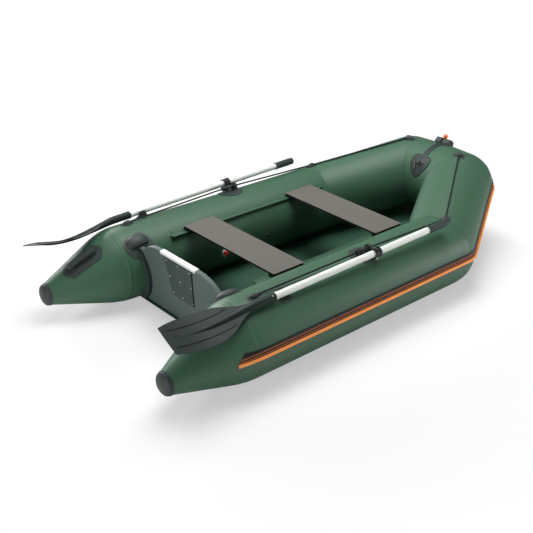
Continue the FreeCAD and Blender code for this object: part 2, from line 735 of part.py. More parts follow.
def build_strake():
    """Flat band of the rub strake in three lengths that meet at the shoulders."""
    shell = strake_shell(SEAT_GAP, SEAT_GAP + STRAKE_THICKNESS)
    pieces = [shell.common(slab) for slab in strake_slabs()]
    band = pieces[0].fuse(pieces[1:]).removeSplitter()
    forward = shoulder_plane_block()
    bow = band.common(forward)
    bow = bow.fuse(mirrored(bow)).removeSplitter()
    return band.cut(forward), bow


def eased(points, start_way, end_way):
    """Smooth curve through places with the directions given at both ends."""
    curve = Part.BSplineCurve()
    curve.interpolate(Points=points, InitialTangent=start_way, FinalTangent=end_way)
    return curve.toShape()


def bead_edges():
    """Route of the port bead from its aft end to the middle of the bow."""
    rise = math.radians(BEAD_ANGLE)
    proud = BEAD_PROUD - BEAD_RADIUS

    def outward(run):
        side = Z_AXIS.cross(run).normalize()
        lift = run.cross(side).normalize()
        return (side * math.cos(rise) + lift * math.sin(rise)) * (TUBE_RADIUS + proud)

    tail_x = STRAKE_AFT_X - STRAKE_RAKE
    count = CONE_STATIONS
    places = [tail_x + (BLEND_X - tail_x) * i / count for i in range(count + 1)]
    tail = [cone_surface(x, 90 - BEAD_ANGLE, proud) for x in places]
    corners = tube_axis()[:5]
    runs = [(b - a).normalize() for a, b in zip(corners, corners[1:])]
    offsets = [outward(run) for run in runs]
    last = tail[-1]
    edges = [eased(tail, (tail[1] - tail[0]).normalize(), runs[0])]
    for i, corner in enumerate(corners[1:3]):
        start = corner + offsets[i]
        end = corner + offsets[i + 1]
        middle = corner + (offsets[i] + offsets[i + 1]).normalize() * offsets[i].Length
        edges.append(Part.LineSegment(last, start).toShape())
        edges.append(eased([start, middle, end], runs[i], runs[i + 1]))
        last = end
    start = NOSE + offsets[2]
    front = NOSE + (offsets[2] + offsets[3]).normalize() * offsets[2].Length
    edges.append(Part.LineSegment(last, start).toShape())
    edges.append(eased([start, front], runs[2], -Y_AXIS))
    return edges


def build_bead():
    """Half-round bead of the strake on the flat band."""
    bead = sweep_round(bead_edges(), BEAD_RADIUS)
    proud = SEAT_GAP + STRAKE_THICKNESS
    tail_cone = cone(proud, BLEND_X + OVERRUN, STRAKE_AFT_X - OVERRUN * 2)
    return bead.cut(hull_pipe(proud)).cut(tail_cone)


def sweep_round(edges, radius):
    wire = Part.Wire(edges)
    first = edges[0]
    start = first.valueAt(first.FirstParameter)
    direction = first.tangentAt(first.FirstParameter)
    section = Part.Wire([Part.makeCircle(radius, start, direction)])
    return wire.makePipeShell([section], True, False, 2)


def holder_frames():
    lean = Placement(BOW_CORNER, Rotation(Y_AXIS, -BOW_HOLDER_LEAN))
    turned = Placement(Vector(0, BOW_HOLDER_SHIFT, TUBE_RADIUS), Rotation(Z_AXIS, 90))
    return [on_tube(STERN_HOLDER_X, STERN_HOLDER_ANGLE), on_tube(SHOULDER_HOLDER_X, SHOULDER_HOLDER_ANGLE),
            lean.multiply(turned)]


def build_rope_holders(hull_solid, rope_room):
    """Moulded rope holders: long rounded blocks on oval pads."""
    base = ellipse_prism(HOLDER_PAD_LENGTH, HOLDER_PAD_WIDTH, HOLDER_HEIGHT * 2, -HOLDER_HEIGHT)
    block = ellipsoid(HOLDER_LENGTH, HOLDER_WIDTH, HOLDER_HEIGHT)
    skin = hull_pipe(SEAT_GAP + HOLDER_PAD_THICKNESS)
    holders = []
    for frame in holder_frames():
        pad = skin.common(placed(base, frame))
        whole = placed(block, frame).fuse(pad)
        holders.append(largest(whole.cut(hull_solid).cut(rope_room)))
    return holders


def rope_points():
    """Route of the port grab line: stern holder, hollow pin of the oarlock, shoulder and bow holders."""
    stern, shoulder, bow = holder_frames()
    pivot = pivot_frame()
    behind = BARREL_BACK + SIDE_CLEARANCE + AFT_LUG_WIDTH + KNOB_LENGTH + ROPE_BEND_REACH + SIDE_CLEARANCE
    ahead = BARREL_FRONT + SIDE_CLEARANCE + FORE_LUG_WIDTH + PIN_END_LENGTH + ROPE_BEND_REACH + SIDE_CLEARANCE
    return [
        stern.multVec(Vector(-HOLDER_LENGTH / 4, 0, ROPE_HEIGHT)),
        pivot.multVec(Vector(-behind, 0, 0)),
        pivot.multVec(Vector(ahead, 0, 0)),
        shoulder.multVec(Vector(0, 0, ROPE_HEIGHT)),
        bow.multVec(Vector(0, 0, ROPE_HEIGHT)),
    ]


def route_edges(points, reach):
    """Straight runs joined by tangent arcs, each as large as its reach along the two runs allows."""
    edges = []
    radii = []
    last = points[0]
    for before, corner, after in zip(points, points[1:], points[2:]):
        back = (before - corner).normalize()
        ahead = (after - corner).normalize()
        half_turn = (math.pi - back.getAngle(ahead)) / 2
        radius = reach / math.tan(half_turn)
        start = corner + back * reach
        end = corner + ahead * reach
        middle = corner + (back + ahead).normalize() * (radius / math.cos(half_turn) - radius)
        edges.append(Part.LineSegment(last, start).toShape())
        edges.append(Part.Arc(start, middle, end).toShape())
        radii.append(round(radius, 1))
        last = end
    edges.append(Part.LineSegment(last, points[-1]).toShape())
    return edges, radii


def build_grab_line():
    """The grab line and the room that it needs in its holders."""
    edges, radii = route_edges(rope_points(), ROPE_BEND_REACH)
    line = sweep_round(edges, ROPE_RADIUS)
    length = sum(e.Length for e in edges)
    share = line.Volume / (math.pi * ROPE_RADIUS ** 2 * length)
    print("grab line", round(length, 1), "radii", radii, "volume share", round(share, 4))
    return line, sweep_round(edges, ROPE_RADIUS + ROPE_HOLE_CLEARANCE)


def build_handle():
    """Carry handle on the stern cone: an octagonal pad, two feet and a bridging grip."""
    reach = HANDLE_PAD_LENGTH / 2
    base = cone_surface(HANDLE_X, HANDLE_ANGLE)
    along = cone_surface(HANDLE_X + reach, HANDLE_ANGLE) - cone_surface(HANDLE_X - reach, HANDLE_ANGLE)
    out = on_tube(HANDLE_X, HANDLE_ANGLE).Rotation.multVec(Z_AXIS)
    frame = frame_along(base, along, out.cross(along))
    half_width = HANDLE_PAD_WIDTH / 2
    outline = [(reach * a, half_width * b) for a, b in HANDLE_PAD_SHARES]
    prism = placed(polygon_prism(outline, HANDLE_RISE * 4, -HANDLE_RISE * 2), frame)
    hollow = cone(SEAT_GAP, CONE_START_X + OVERRUN, CONE_END_X - OVERRUN / 2)
    pad = cone(SEAT_GAP + HANDLE_PAD_THICKNESS).common(prism).cut(hollow)
    grip_half = HANDLE_GRIP_LENGTH / 2
    rise = HANDLE_RISE
    under = rise - HANDLE_GRIP_THICKNESS
    slant = HANDLE_FOOT / 4
    profile = [
        (-grip_half, -rise), (-grip_half, under), (-grip_half + slant, rise),
        (grip_half - slant, rise), (grip_half, under), (grip_half, -rise),
        (grip_half - HANDLE_FOOT, -rise), (grip_half - HANDLE_FOOT, under),
        (-grip_half + HANDLE_FOOT, under), (-grip_half + HANDLE_FOOT, -rise),
    ]
    grip = placed(side_prism(profile, HANDLE_GRIP_WIDTH, -HANDLE_GRIP_WIDTH / 2), frame)
    return pad.fuse(grip.cut(hollow)).removeSplitter()


def bow_frame(angle):
    """Frame on the bow tube at the middle of the boat, tilted from straight up in the fore-and-aft plane."""
    turn = math.radians(angle)
    base = NOSE + Vector(math.sin(turn), 0, math.cos(turn)) * TUBE_RADIUS
    return Placement(base, Rotation(Y_AXIS, angle))


def build_tow_patch(hull_solid):
    """Shield-shaped patch on the bow tube's inner face with a lug for the ring."""
    frame = bow_frame(TOW_PATCH_ANGLE)
    half = [(TOW_PATCH_HALF_LENGTH * a, TOW_PATCH_HALF_WIDTH * b) for a, b in TOW_PATCH_SHARES]
    other = [(x, -y) for x, y in half[:-1]]
    outline = [(TOW_PATCH_HALF_LENGTH * TOW_PATCH_TOP_SHARE, 0)] + half + other[::-1]
    prism = polygon_prism(outline, TUBE_RADIUS, -TUBE_RADIUS / 2)
    patch = hull_pipe(SEAT_GAP + TOW_PATCH_THICKNESS).common(placed(prism, frame)).cut(hull_solid)
    ring = bow_frame(TOW_RING_ANGLE)
    deep = TOW_RING_WIRE + TOW_LUG_WALL
    lug = box_between(Vector(-deep, -TOW_LUG_WIDTH / 2, -TOW_RING_LIFT),
                      Vector(deep, TOW_LUG_WIDTH / 2, TOW_RING_LIFT + deep))
    bore = Part.makeCylinder(TOW_RING_WIRE + TOW_RING_CLEARANCE, TOW_RING_SIDE,
                             Vector(0, -TOW_RING_SIDE / 2, TOW_RING_LIFT), Y_AXIS)
    return patch.fuse(placed(lug, ring).cut(hull_solid)).cut(placed(bore, ring))


def build_tow_ring():
    """Triangular ring through the patch's lug, lying back on the patch."""
    half = TOW_RING_SIDE / 2
    points = [Vector(0, -half, TOW_RING_LIFT), Vector(0, half, TOW_RING_LIFT),
              Vector(-TOW_RING_SIDE, 0, TOW_RING_LIFT)]
    middle = (points[0] + points[1]) / 2
    loop = [middle, points[1], points[2], points[0]]
    count = len(loop)
    edges = []
    last = middle
    for i in range(1, count):
        back = (loop[i - 1] - loop[i]).normalize()
        ahead = (loop[(i + 1) % count] - loop[i]).normalize()
        turn = math.pi - back.getAngle(ahead)
        cut = TOW_RING_ROUNDING * math.tan(turn / 2)
        sag = TOW_RING_ROUNDING / math.cos(turn / 2) - TOW_RING_ROUNDING
        start = loop[i] + back * cut
        end = loop[i] + ahead * cut
        edges.append(Part.LineSegment(last, start).toShape())
        edges.append(Part.Arc(start, loop[i] + (back + ahead).normalize() * sag, end).toShape())
        last = end
    edges.append(Part.LineSegment(last, middle).toShape())
    return placed(sweep_round(edges, TOW_RING_WIRE), bow_frame(TOW_RING_ANGLE))


def build_guide(hull_solid):
    """Grooved strip that leads the anchor line over the bow tube."""
    start = bow_frame(GUIDE_AFT_ANGLE).Base.x
    end = bow_frame(LOCK_ANGLE).multVec(Vector(-LOCK_LENGTH / 2 - SEAT_GAP, 0, -LOCK_FOOT)).x
    high = NOSE.z + TUBE_RADIUS * 2
    skin = hull_pipe(SEAT_GAP + GUIDE_THICKNESS)
    half = GUIDE_WIDTH / 2
    strip = skin.common(box_between(Vector(start, -half, NOSE.z), Vector(end, half, high)))
    groove = box_between(Vector(start, -GUIDE_GROOVE / 2, NOSE.z), Vector(end, GUIDE_GROOVE / 2, high))
    core = hull_pipe(SEAT_GAP + GUIDE_THICKNESS - GUIDE_GROOVE_DEPTH)
    return strip.cut(groove.cut(core)).cut(hull_solid)


def build_anchor_lock(hull_solid):
    """Anchor lock: a wedge-shaped body with a throat for the line, a roller and a ball-headed pin."""
    frame = bow_frame(LOCK_ANGLE)
    half = LOCK_WIDTH / 2
    profile = [(LOCK_LENGTH * a, LOCK_HEIGHT * b) for a, b in LOCK_SHARES]
    profile = [(profile[0][0], -LOCK_HEIGHT)] + profile + [(profile[-1][0], -LOCK_HEIGHT)]
    body = side_prism(profile, LOCK_WIDTH, -half)
    reach = LOCK_LENGTH / 2 + OVERRUN
    slot_half = LOCK_SLOT / 2
    slot = box_between(Vector(-reach, -slot_half, LOCK_FOOT), Vector(reach, slot_half, LOCK_HEIGHT * 2))
    axle_z = LOCK_FOOT + ROLLER_RADIUS + SEAT_GAP
    span = LOCK_WIDTH + ROLLER_PROUD * 2
    place = Vector(ROLLER_PLACE, -span / 2, axle_z)
    bore = Part.makeCylinder(ROLLER_RADIUS + SEAT_GAP, span, place, Y_AXIS)
    roller = Part.makeCylinder(ROLLER_RADIUS, span, place, Y_AXIS)
    ball = Part.makeSphere(KNOB_BALL_RADIUS, Vector(0, 0, KNOB_HEIGHT))
    stem_low = KNOB_HEIGHT - KNOB_STEM_LENGTH
    stem = Part.makeCylinder(KNOB_STEM_RADIUS, KNOB_STEM_LENGTH, Vector(0, 0, stem_low))
    seat = Part.makeCylinder(KNOB_STEM_RADIUS + SEAT_GAP, KNOB_STEM_LENGTH, Vector(0, 0, stem_low - SEAT_GAP))
    room = Part.makeSphere(KNOB_BALL_RADIUS + SEAT_GAP, Vector(0, 0, KNOB_HEIGHT))
    bridge = box_between(Vector(-KNOB_STEM_RADIUS * 2, -slot_half, stem_low - KNOB_STEM_RADIUS),
                         Vector(KNOB_STEM_RADIUS * 2, slot_half, LOCK_HEIGHT))
    local = body.cut(slot).fuse(bridge.common(body)).cut(bore).cut(seat).cut(room).removeSplitter()
    return placed(local, frame).cut(hull_solid), placed(stem.fuse(ball), frame), placed(roller, frame)


def build_valve():
    """Air valve: a moulded ring on the tube and its screw cap."""
    frame = on_tube(VALVE_X, VALVE_ANGLE)
    ring = Part.makeCylinder(VALVE_RADIUS, VALVE_THICKNESS * 2, Vector(0, 0, -VALVE_THICKNESS))
    top = [e for e in ring.Edges if e.BoundBox.ZMin > VALVE_THICKNESS / 2 and len(e.Vertexes) == 1]
    ring = ring.makeFillet(VALVE_THICKNESS / 2, top)
    ring = placed(ring, frame).cut(side_tube(SEAT_GAP))
    base = VALVE_THICKNESS + SEAT_GAP
    cap = Part.makeCylinder(VALVE_CAP_RADIUS, VALVE_CAP_HEIGHT, Vector(0, 0, base))
    rim = [e for e in cap.Edges if e.BoundBox.ZMin > base + VALVE_CAP_HEIGHT / 2 and len(e.Vertexes) == 1]
    return ring, placed(cap.makeFillet(VALVE_CAP_HEIGHT / 3, rim), frame)


def build_strap_lug():
    """Small moulded lug low on the tube's inner side."""
    lug = ellipsoid(STRAP_LUG_LENGTH, STRAP_LUG_WIDTH, STRAP_LUG_HEIGHT)
    return placed(lug, on_tube(STRAP_LUG_X, STRAP_LUG_ANGLE)).cut(side_tube(SEAT_GAP))


def x_cylinder(radius, start, end, out=0.0, height=0.0):
    return Part.makeCylinder(radius, end - start, Vector(start, out, height), X_AXIS)


def pivot_frame():
    """Frame on the axis of the oarlock's pivot pin, which runs along the tube."""
    return on_tube(OARLOCK_X, PIVOT_ANGLE).multiply(Placement(Vector(0, 0, PIVOT_HEIGHT), Rotation()))


def upright_frame():
    """Frame of the oarlock's upright pin, which leans outboard, with its origin on the oar's axis."""
    lean = Placement(Vector(0, 0, SHAFT_HEIGHT), Rotation(X_AXIS, -PIN_LEAN))
    return on_tube(OARLOCK_X, OARLOCK_ANGLE).multiply(lean)


def lug_with_foot(radius, start, end):
    """Upright lug with a round head on a foot that runs down into the tube."""
    foot = [(-radius, 0), (radius, 0), (radius, -PIVOT_HEIGHT * 2), (-radius, -PIVOT_HEIGHT * 2)]
    return x_cylinder(radius, start, end).fuse(cross_prism(foot, end - start, start))


def build_oarlock_base():
    """Base of the oarlock: an oval pad, a small aft lug and a large fore lug for the pivot pin."""
    disc = ellipse_prism(OARLOCK_PAD_LENGTH, OARLOCK_PAD_WIDTH, TUBE_RADIUS, -TUBE_RADIUS / 2)
    pad = tube_pad(disc, OARLOCK_PAD_X, OARLOCK_PAD_ANGLE, OARLOCK_PAD_LENGTH, OARLOCK_PAD_THICKNESS)
    aft = -BARREL_BACK - SIDE_CLEARANCE
    fore = BARREL_FRONT + SIDE_CLEARANCE
    lugs = lug_with_foot(LUG_RADIUS, aft - AFT_LUG_WIDTH, aft)
    lugs = lugs.fuse(lug_with_foot(FORE_LUG_RADIUS, fore, fore + FORE_LUG_WIDTH))
    bore = x_cylinder(PIVOT_PIN_RADIUS + PIN_CLEARANCE, -OVERRUN * 2, OVERRUN * 2)
    lugs = placed(lugs.cut(bore), pivot_frame()).cut(side_tube(SEAT_GAP))
    return pad.fuse(lugs).removeSplitter()


def build_pivot_pin(rope_room):
    """Hollow pivot pin of the oarlock with its round knob at the aft end; the grab line runs through it."""
    aft = -BARREL_BACK - SIDE_CLEARANCE - AFT_LUG_WIDTH - SEAT_GAP
    fore = BARREL_FRONT + SIDE_CLEARANCE + FORE_LUG_WIDTH + PIN_END_LENGTH
    pin = x_cylinder(PIVOT_PIN_RADIUS, aft - KNOB_LENGTH / 2, fore)
    knob = x_cylinder(KNOB_RADIUS, aft - KNOB_LENGTH, aft)
    rims = [e for e in knob.Edges if len(e.Vertexes) == 1]
    knob = knob.makeFillet(KNOB_RADIUS / 5, rims)
    return placed(pin.fuse(knob), pivot_frame()).cut(rope_room)


def build_oarlock_arm():
    """Swinging arm of the oarlock: a barrel on the pivot pin and a leaning pin for the oar's collar."""
    pivot = upright_frame().inverse().multVec(pivot_frame().Base)
    barrel = x_cylinder(LUG_RADIUS, -BARREL_BACK, BARREL_FRONT, pivot.y, pivot.z)
    low = -ARM_TOP - ARM_THICKNESS
    plan = [(-BARREL_BACK, pivot.y), (BARREL_FRONT, pivot.y), (BARREL_FRONT, -ARM_WAIST), (BOSS_RADIUS, 0),
            (-BOSS_RADIUS, 0), (-BARREL_BACK, -ARM_WAIST)]
    plate = polygon_prism(plan, ARM_THICKNESS, low)
    boss = Part.makeCylinder(BOSS_RADIUS, ARM_THICKNESS, Vector(0, 0, low))
    pin = Part.makeCylinder(UPRIGHT_RADIUS, -UPRIGHT_TOP - low, Vector(0, 0, low))
    bore = x_cylinder(PIVOT_PIN_RADIUS + PIN_CLEARANCE, -OVERRUN, OVERRUN, pivot.y, pivot.z)
    arm = barrel.fuse([plate, boss, pin]).cut(bore).removeSplitter()
    return placed(arm, upright_frame())


def oar_frame():
    """Frame of the oar: its own axis, outboard, and outward, at the middle of the collar."""
    aim = Rotation(Z_AXIS, OAR_YAW).multiply(Rotation(Y_AXIS, -OAR_PITCH))
    return on_tube(OARLOCK_X, OARLOCK_ANGLE).multiply(Placement(Vector(0, 0, SHAFT_HEIGHT), aim))


def spoon_curve(offset):
    """Side view of the blade as one smooth curve; the offset is counted outward."""
    length = BLADE_NECK - BLADE_TIP
    points = [Vector(BLADE_NECK - length * a, 0, offset - BLADE_DIP * b) for a, b in SPOON_SHARES]
    curve = Part.BSplineCurve()
    curve.interpolate(points)
    return curve


def spoon_sheet(low, high, half_width):
    """Curved plate between two offsets of the spoon curve."""
    bottom = spoon_curve(low)
    top = spoon_curve(high)
    wire = Part.Wire([
        bottom.toShape(),
        Part.LineSegment(bottom.value(bottom.LastParameter), top.value(top.LastParameter)).toShape(),
        top.toShape(),
        Part.LineSegment(bottom.value(bottom.FirstParameter), top.value(top.FirstParameter)).toShape(),
    ])
    face = Part.Face(wire)
    face.translate(Vector(0, -half_width, 0))
    return face.extrude(Vector(0, half_width * 2, 0))


def blade_outline():
    """Upright prism over the blade's outline, with its tip cut aslant."""
    low = -BLADE_HALF_WIDTH * 2

    def side(sign):
        length = BLADE_NECK - BLADE_TIP + sign * BLADE_SLANT / 2
        return [Vector(BLADE_NECK - length * a, sign * BLADE_HALF_WIDTH * b, low)
                for a, b in BLADE_OUTLINE_SHARES]

    near = side(1)
    far = side(-1)
    curves = []
    for points in (near, far):
        curve = Part.BSplineCurve()
        curve.interpolate(points)
        curves.append(curve.toShape())
    wire = Part.Wire([curves[0], Part.LineSegment(near[-1], far[-1]).toShape(), curves[1],
                      Part.LineSegment(far[0], near[0]).toShape()])
    return Part.Face(wire).extrude(Vector(0, 0, -low * 2))


def spoon_height(x):
    """Height of the spoon curve at a place along the oar."""
    reach = BLADE_HALF_WIDTH * 2
    line = Part.LineSegment(Vector(x, 0, -reach), Vector(x, 0, reach))
    return spoon_curve(0).toShape().distToShape(line.toShape())[1][0][0].z


def build_blade():
    """Spoon blade: a curved plate with a tapering spine, a rib on each side and a socket for the shaft."""
    skin = BLADE_THICKNESS / 2
    plate = spoon_sheet(-skin, skin, BLADE_HALF_WIDTH * 2).common(blade_outline())
    length = BLADE_NECK - BLADE_TIP
    socket_radius = SHAFT_RADIUS + OAR_FIT + SOCKET_WALL
    stations = [(share, socket_radius * part) for share, part in SPINE_SHARES]
    stations.append((SPINE_END_SHARE, SPINE_END_RADIUS))
    circles = []
    for share, radius in stations:
        x = BLADE_NECK - length * share
        circles.append(Part.Wire([Part.makeCircle(radius, Vector(x, 0, spoon_height(x)), X_AXIS)]))
    spine = Part.makeLoft(circles, True, False)
    neck_z = spoon_height(BLADE_NECK)
    socket_end = SOCKET_FRONT - SOCKET_OVERLAP - SOCKET_WALL
    socket_wires = [
        Part.Wire([Part.makeCircle(socket_radius, Vector(SOCKET_FRONT, 0, 0), X_AXIS)]),
        Part.Wire([Part.makeCircle(socket_radius, Vector(socket_end, 0, 0), X_AXIS)]),
        Part.Wire([Part.makeCircle(socket_radius, Vector(BLADE_NECK, 0, neck_z), X_AXIS)]),
    ]
    socket = Part.makeLoft(socket_wires, True, True)
    relief = spoon_sheet(0, skin + RIB_HEIGHT, BLADE_HALF_WIDTH * 2)
    half = RIB_WIDTH / 2
    ribs = []
    for y in (-RIB_OUT, RIB_OUT):
        outline = [(RIB_START, y), (RIB_START - RIB_TAPER, y + half), (RIB_END + RIB_TAPER, y + half),
                   (RIB_END, y), (RIB_END + RIB_TAPER, y - half), (RIB_START - RIB_TAPER, y - half)]
        ribs.append(polygon_prism(outline, BLADE_HALF_WIDTH * 4, -BLADE_HALF_WIDTH * 2).common(relief))
    blade = plate.fuse([spine, socket] + ribs)
    bore = x_cylinder(SHAFT_RADIUS + OAR_FIT, SOCKET_FRONT - SOCKET_OVERLAP, SOCKET_FRONT + OVERRUN)
    return placed(blade.cut(bore), oar_frame())


def build_shaft():
    start = SOCKET_FRONT - SOCKET_OVERLAP + SEAT_GAP
    end = SHAFT_FRONT - GRIP_END_WALL - SEAT_GAP
    return placed(x_cylinder(SHAFT_RADIUS, start, end), oar_frame())


def build_grip():
    start = SHAFT_FRONT - GRIP_LENGTH
    body = x_cylinder(GRIP_RADIUS, start, SHAFT_FRONT)
    end_edge = [e for e in body.Edges if e.BoundBox.XMin > start + GRIP_LENGTH / 2 and len(e.Vertexes) == 1]
    body = body.makeFillet(GRIP_END_ROUNDING, end_edge)
    flange = x_cylinder(GRIP_FLANGE_RADIUS, start, start + GRIP_FLANGE_LENGTH)
    bore = x_cylinder(SHAFT_RADIUS + OAR_FIT, start - OVERRUN, SHAFT_FRONT - GRIP_END_WALL)
    return placed(body.fuse(flange).cut(bore).removeSplitter(), oar_frame())


def build_collar():
    """Collar on the shaft with a hub below that turns on the oarlock's leaning pin."""
    outer = SHAFT_RADIUS + OAR_FIT + COLLAR_WALL
    half = COLLAR_LENGTH / 2
    sleeve = x_cylinder(outer, -half, half)
    rims = [x_cylinder(outer + COLLAR_RIM, x, x + COLLAR_RIM * 2) for x in (-half, half - COLLAR_RIM * 2)]
    sleeve = placed(sleeve.fuse(rims), oar_frame())
    low = SIDE_CLEARANCE - ARM_TOP
    hub = Part.makeCylinder(HUB_RADIUS, -low, Vector(0, 0, low))
    room = Part.makeCylinder(UPRIGHT_RADIUS + PIN_CLEARANCE, ARM_TOP - UPRIGHT_TOP + OVERRUN,
                             Vector(0, 0, SIDE_CLEARANCE - ARM_TOP - OVERRUN))
    bore = x_cylinder(SHAFT_RADIUS + OAR_FIT, -half - OVERRUN, half + OVERRUN)
    whole = sleeve.fuse(placed(hub, upright_frame()))
    return whole.cut(placed(bore, oar_frame())).cut(placed(room, upright_frame())).removeSplitter()


def build_oar_clip():
    """Cradle for the stowed oar: a six-sided pad and a block with a wall inboard and a way out outboard."""
    frame = on_tube(CLIP_X, OARLOCK_ANGLE)
    axis = frame.inverse().multVec(oar_frame().multVec(Vector(CLIP_X - OARLOCK_X, 0, 0)))
    radius = CLIP_PAD_SIZE / 2
    turns = [math.radians(60 * i) for i in range(6)]
    hexagon = polygon_prism([(radius * math.cos(t), radius * math.sin(t)) for t in turns], TUBE_RADIUS,
                            -TUBE_RADIUS / 2)
    pad = tube_pad(hexagon, CLIP_X, OARLOCK_ANGLE, CLIP_PAD_SIZE, CLIP_PAD_THICKNESS)
    inner = SHAFT_RADIUS + CLIP_GAP
    inboard = axis.y - inner - CLIP_WALL
    base = CLIP_BASE_LENGTH / 2
    top = CLIP_LENGTH / 2
    profile = [(-base, -axis.z), (base, -axis.z), (base, CLIP_PAD_THICKNESS), (top, axis.z), (-top, axis.z),
               (-base, CLIP_PAD_THICKNESS)]
    block = placed(side_prism(profile, CLIP_OUTBOARD - inboard, inboard), frame)
    place = CLIP_X - OARLOCK_X
    low = place - CLIP_BASE_LENGTH
    high = place + CLIP_BASE_LENGTH
    way_out = box_between(Vector(low, 0, -inner), Vector(high, BEAM, BEAM))
    lean = Placement(Vector(0, 0, 0), Rotation(X_AXIS, -PIN_LEAN))
    block = block.cut(placed(x_cylinder(inner, low, high), oar_frame()))
    block = block.cut(placed(placed(way_out, lean), oar_frame())).cut(side_tube(SEAT_GAP))
    return pad.fuse(block).removeSplitter()


def main():
    os.makedirs("parts", exist_ok=True)
    parts = {}

    def pair(name, shape):
        parts[name + "_port"] = shape
        parts[name + "_starboard"] = mirrored(shape)

    parts.update(build_tubes())
    hull_cutter = hull_pipe(SEAT_GAP)
    pair("cone_cap", build_cone_cap())
    parts["bottom_sheet"] = build_bottom(hull_cutter)
    board, outer_plate, inner_plate, strip, board_room = build_transom()
    parts["transom_board"] = board
    parts["motor_plate_outer"] = outer_plate
    parts["motor_plate_inner"] = inner_plate
    parts["transom_strip"] = strip
    channel = build_transom_channel(board_room)
    pair("transom_channel", channel)
    pair("transom_hood", build_transom_hood([board_room, channel]))
    parts["bench_rear"] = build_bench(REAR_BENCH_X)
    parts["bench_front"] = build_bench(FRONT_BENCH_X)
    pair("bench_rail", build_rail(hull_cutter))
    for name, x in (("rear", REAR_BENCH_X), ("front", FRONT_BENCH_X)):
        bracket = build_bracket(x)
        parts["bench_brackets_" + name] = Part.makeCompound([bracket, mirrored(bracket)])
    side_strake, bow_strake = build_strake()
    pair("rub_strake", side_strake)
    parts["rub_strake_bow"] = bow_strake
    pair("strake_bead", build_bead())
    line, rope_room = build_grab_line()
    pair("grab_line", line)
    pair("rope_holders", Part.makeCompound(build_rope_holders(hull_cutter, rope_room)))
    pair("carry_handle", build_handle())
    parts["tow_patch"] = build_tow_patch(hull_cutter)
    parts["tow_ring"] = build_tow_ring()
    parts["anchor_guide"] = build_guide(hull_cutter)
    lock, knob, roller = build_anchor_lock(hull_cutter)
    parts["anchor_lock"] = lock
    parts["anchor_knob"] = knob
    parts["anchor_roller"] = roller
    ring, cap = build_valve()
    pair("valve_ring", ring)
    pair("valve_cap", cap)
    pair("strap_lug", build_strap_lug())
    pair("oarlock_base", build_oarlock_base())
    pair("oarlock_pin", build_pivot_pin(rope_room))
    pair("oarlock_arm", build_oarlock_arm())
    pair("oar_collar", build_collar())
    pair("oar_shaft", build_shaft())
    pair("oar_grip", build_grip())
    pair("oar_blade", build_blade())
    pair("oar_clip", build_oar_clip())

    for name, shape in parts.items():
        shape.exportStep("parts/" + name + ".step")
        box = shape.BoundBox
        print(name, len(shape.Solids), shape.isValid(), round(shape.Volume / 1000.0, 1),
              [round(v) for v in (box.XMin, box.XMax, box.YMin, box.YMax, box.ZMin, box.ZMax)])


main()
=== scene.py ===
"""Looks of an inflatable rowing boat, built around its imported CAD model.

Lengths are in metres. +X is forward, +Y is port and +Z is up, with the ground at zero.
"""

import json
import logging
import math
from dataclasses import dataclass, field
from enum import Enum
from typing import Any, Callable, Sequence

import bmesh
import bpy
import numpy as np
from mathutils import Matrix, Vector


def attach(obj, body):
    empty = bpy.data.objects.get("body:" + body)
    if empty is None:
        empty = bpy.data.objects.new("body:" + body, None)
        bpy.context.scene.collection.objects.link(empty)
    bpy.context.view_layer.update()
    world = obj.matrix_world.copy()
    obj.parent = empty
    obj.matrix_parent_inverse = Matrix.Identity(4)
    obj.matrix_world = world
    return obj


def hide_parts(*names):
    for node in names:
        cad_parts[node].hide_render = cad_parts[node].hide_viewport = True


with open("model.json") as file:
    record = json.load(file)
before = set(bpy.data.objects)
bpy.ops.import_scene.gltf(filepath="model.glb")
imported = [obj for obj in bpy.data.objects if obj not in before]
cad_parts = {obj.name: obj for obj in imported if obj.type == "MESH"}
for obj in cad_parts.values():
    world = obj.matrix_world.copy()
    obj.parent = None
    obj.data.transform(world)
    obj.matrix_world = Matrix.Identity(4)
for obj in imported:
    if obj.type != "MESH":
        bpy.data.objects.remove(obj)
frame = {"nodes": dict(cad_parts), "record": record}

LOG = logging.getLogger("boat")
MM = 0.001
BURIED = 1.0 * MM
ARC_POINTS = 25

Array = np.ndarray
Colour = tuple[float, float, float]
Point = tuple[float, float, float]
Pair = tuple[float, float]
Row = tuple[float, ...]


class Side(Enum):
    """The two sides of the boat and the sign of their Y."""

    PORT = 1
    STARBOARD = -1

    @property
    def word(self) -> str:
        """Ending of the names of this side's nodes."""
        return self.name.lower()

    def turned(self, points: Array) -> Array:
        """Port points, an array of shape (..., 3), moved to this side."""
        return np.asarray(points) * (1.0, float(self.value), 1.0)


def unit(vectors: Any) -> Array:
    """Vectors scaled to length one, counted along the last axis."""
    return vectors / np.linalg.norm(vectors, axis=-1, keepdims=True)


def swung(first: Array, last: Array, count: int) -> Array:
    """Vectors that turn evenly from one to another of the same length.

    Each is the sum of the two, the first times the sine of the turn still to come and the last times the
    sine of the turn already made, over the sine of the whole turn.

    Args:
        first: array of shape (3,).
        last: array of shape (3,).
        count: number of vectors.

    Returns:
        Array of shape (count, 3).
    """
    turn = math.acos(np.dot(first, last) / np.dot(first, first))
    made = np.linspace(0.0, turn, count)[:, None]
    return (np.sin(turn - made) * first + np.sin(made) * last) / math.sin(turn)


# Shader expressions


def operator(operation: str, reflected: bool = False) -> Callable[["Expr", Any], "Expr"]:
    """Make the method of one operator.

    Args:
        operation: the Math node's operation.
        reflected: whether the expression is the second operand.

    Returns:
        A method that adds the node and returns its result.
    """
    def method(self: "Expr", other: Any) -> "Expr":
        """Result of the operation on this expression and the other value."""
        return self.math(operation, *((other, self) if reflected else (self, other)))

    return method


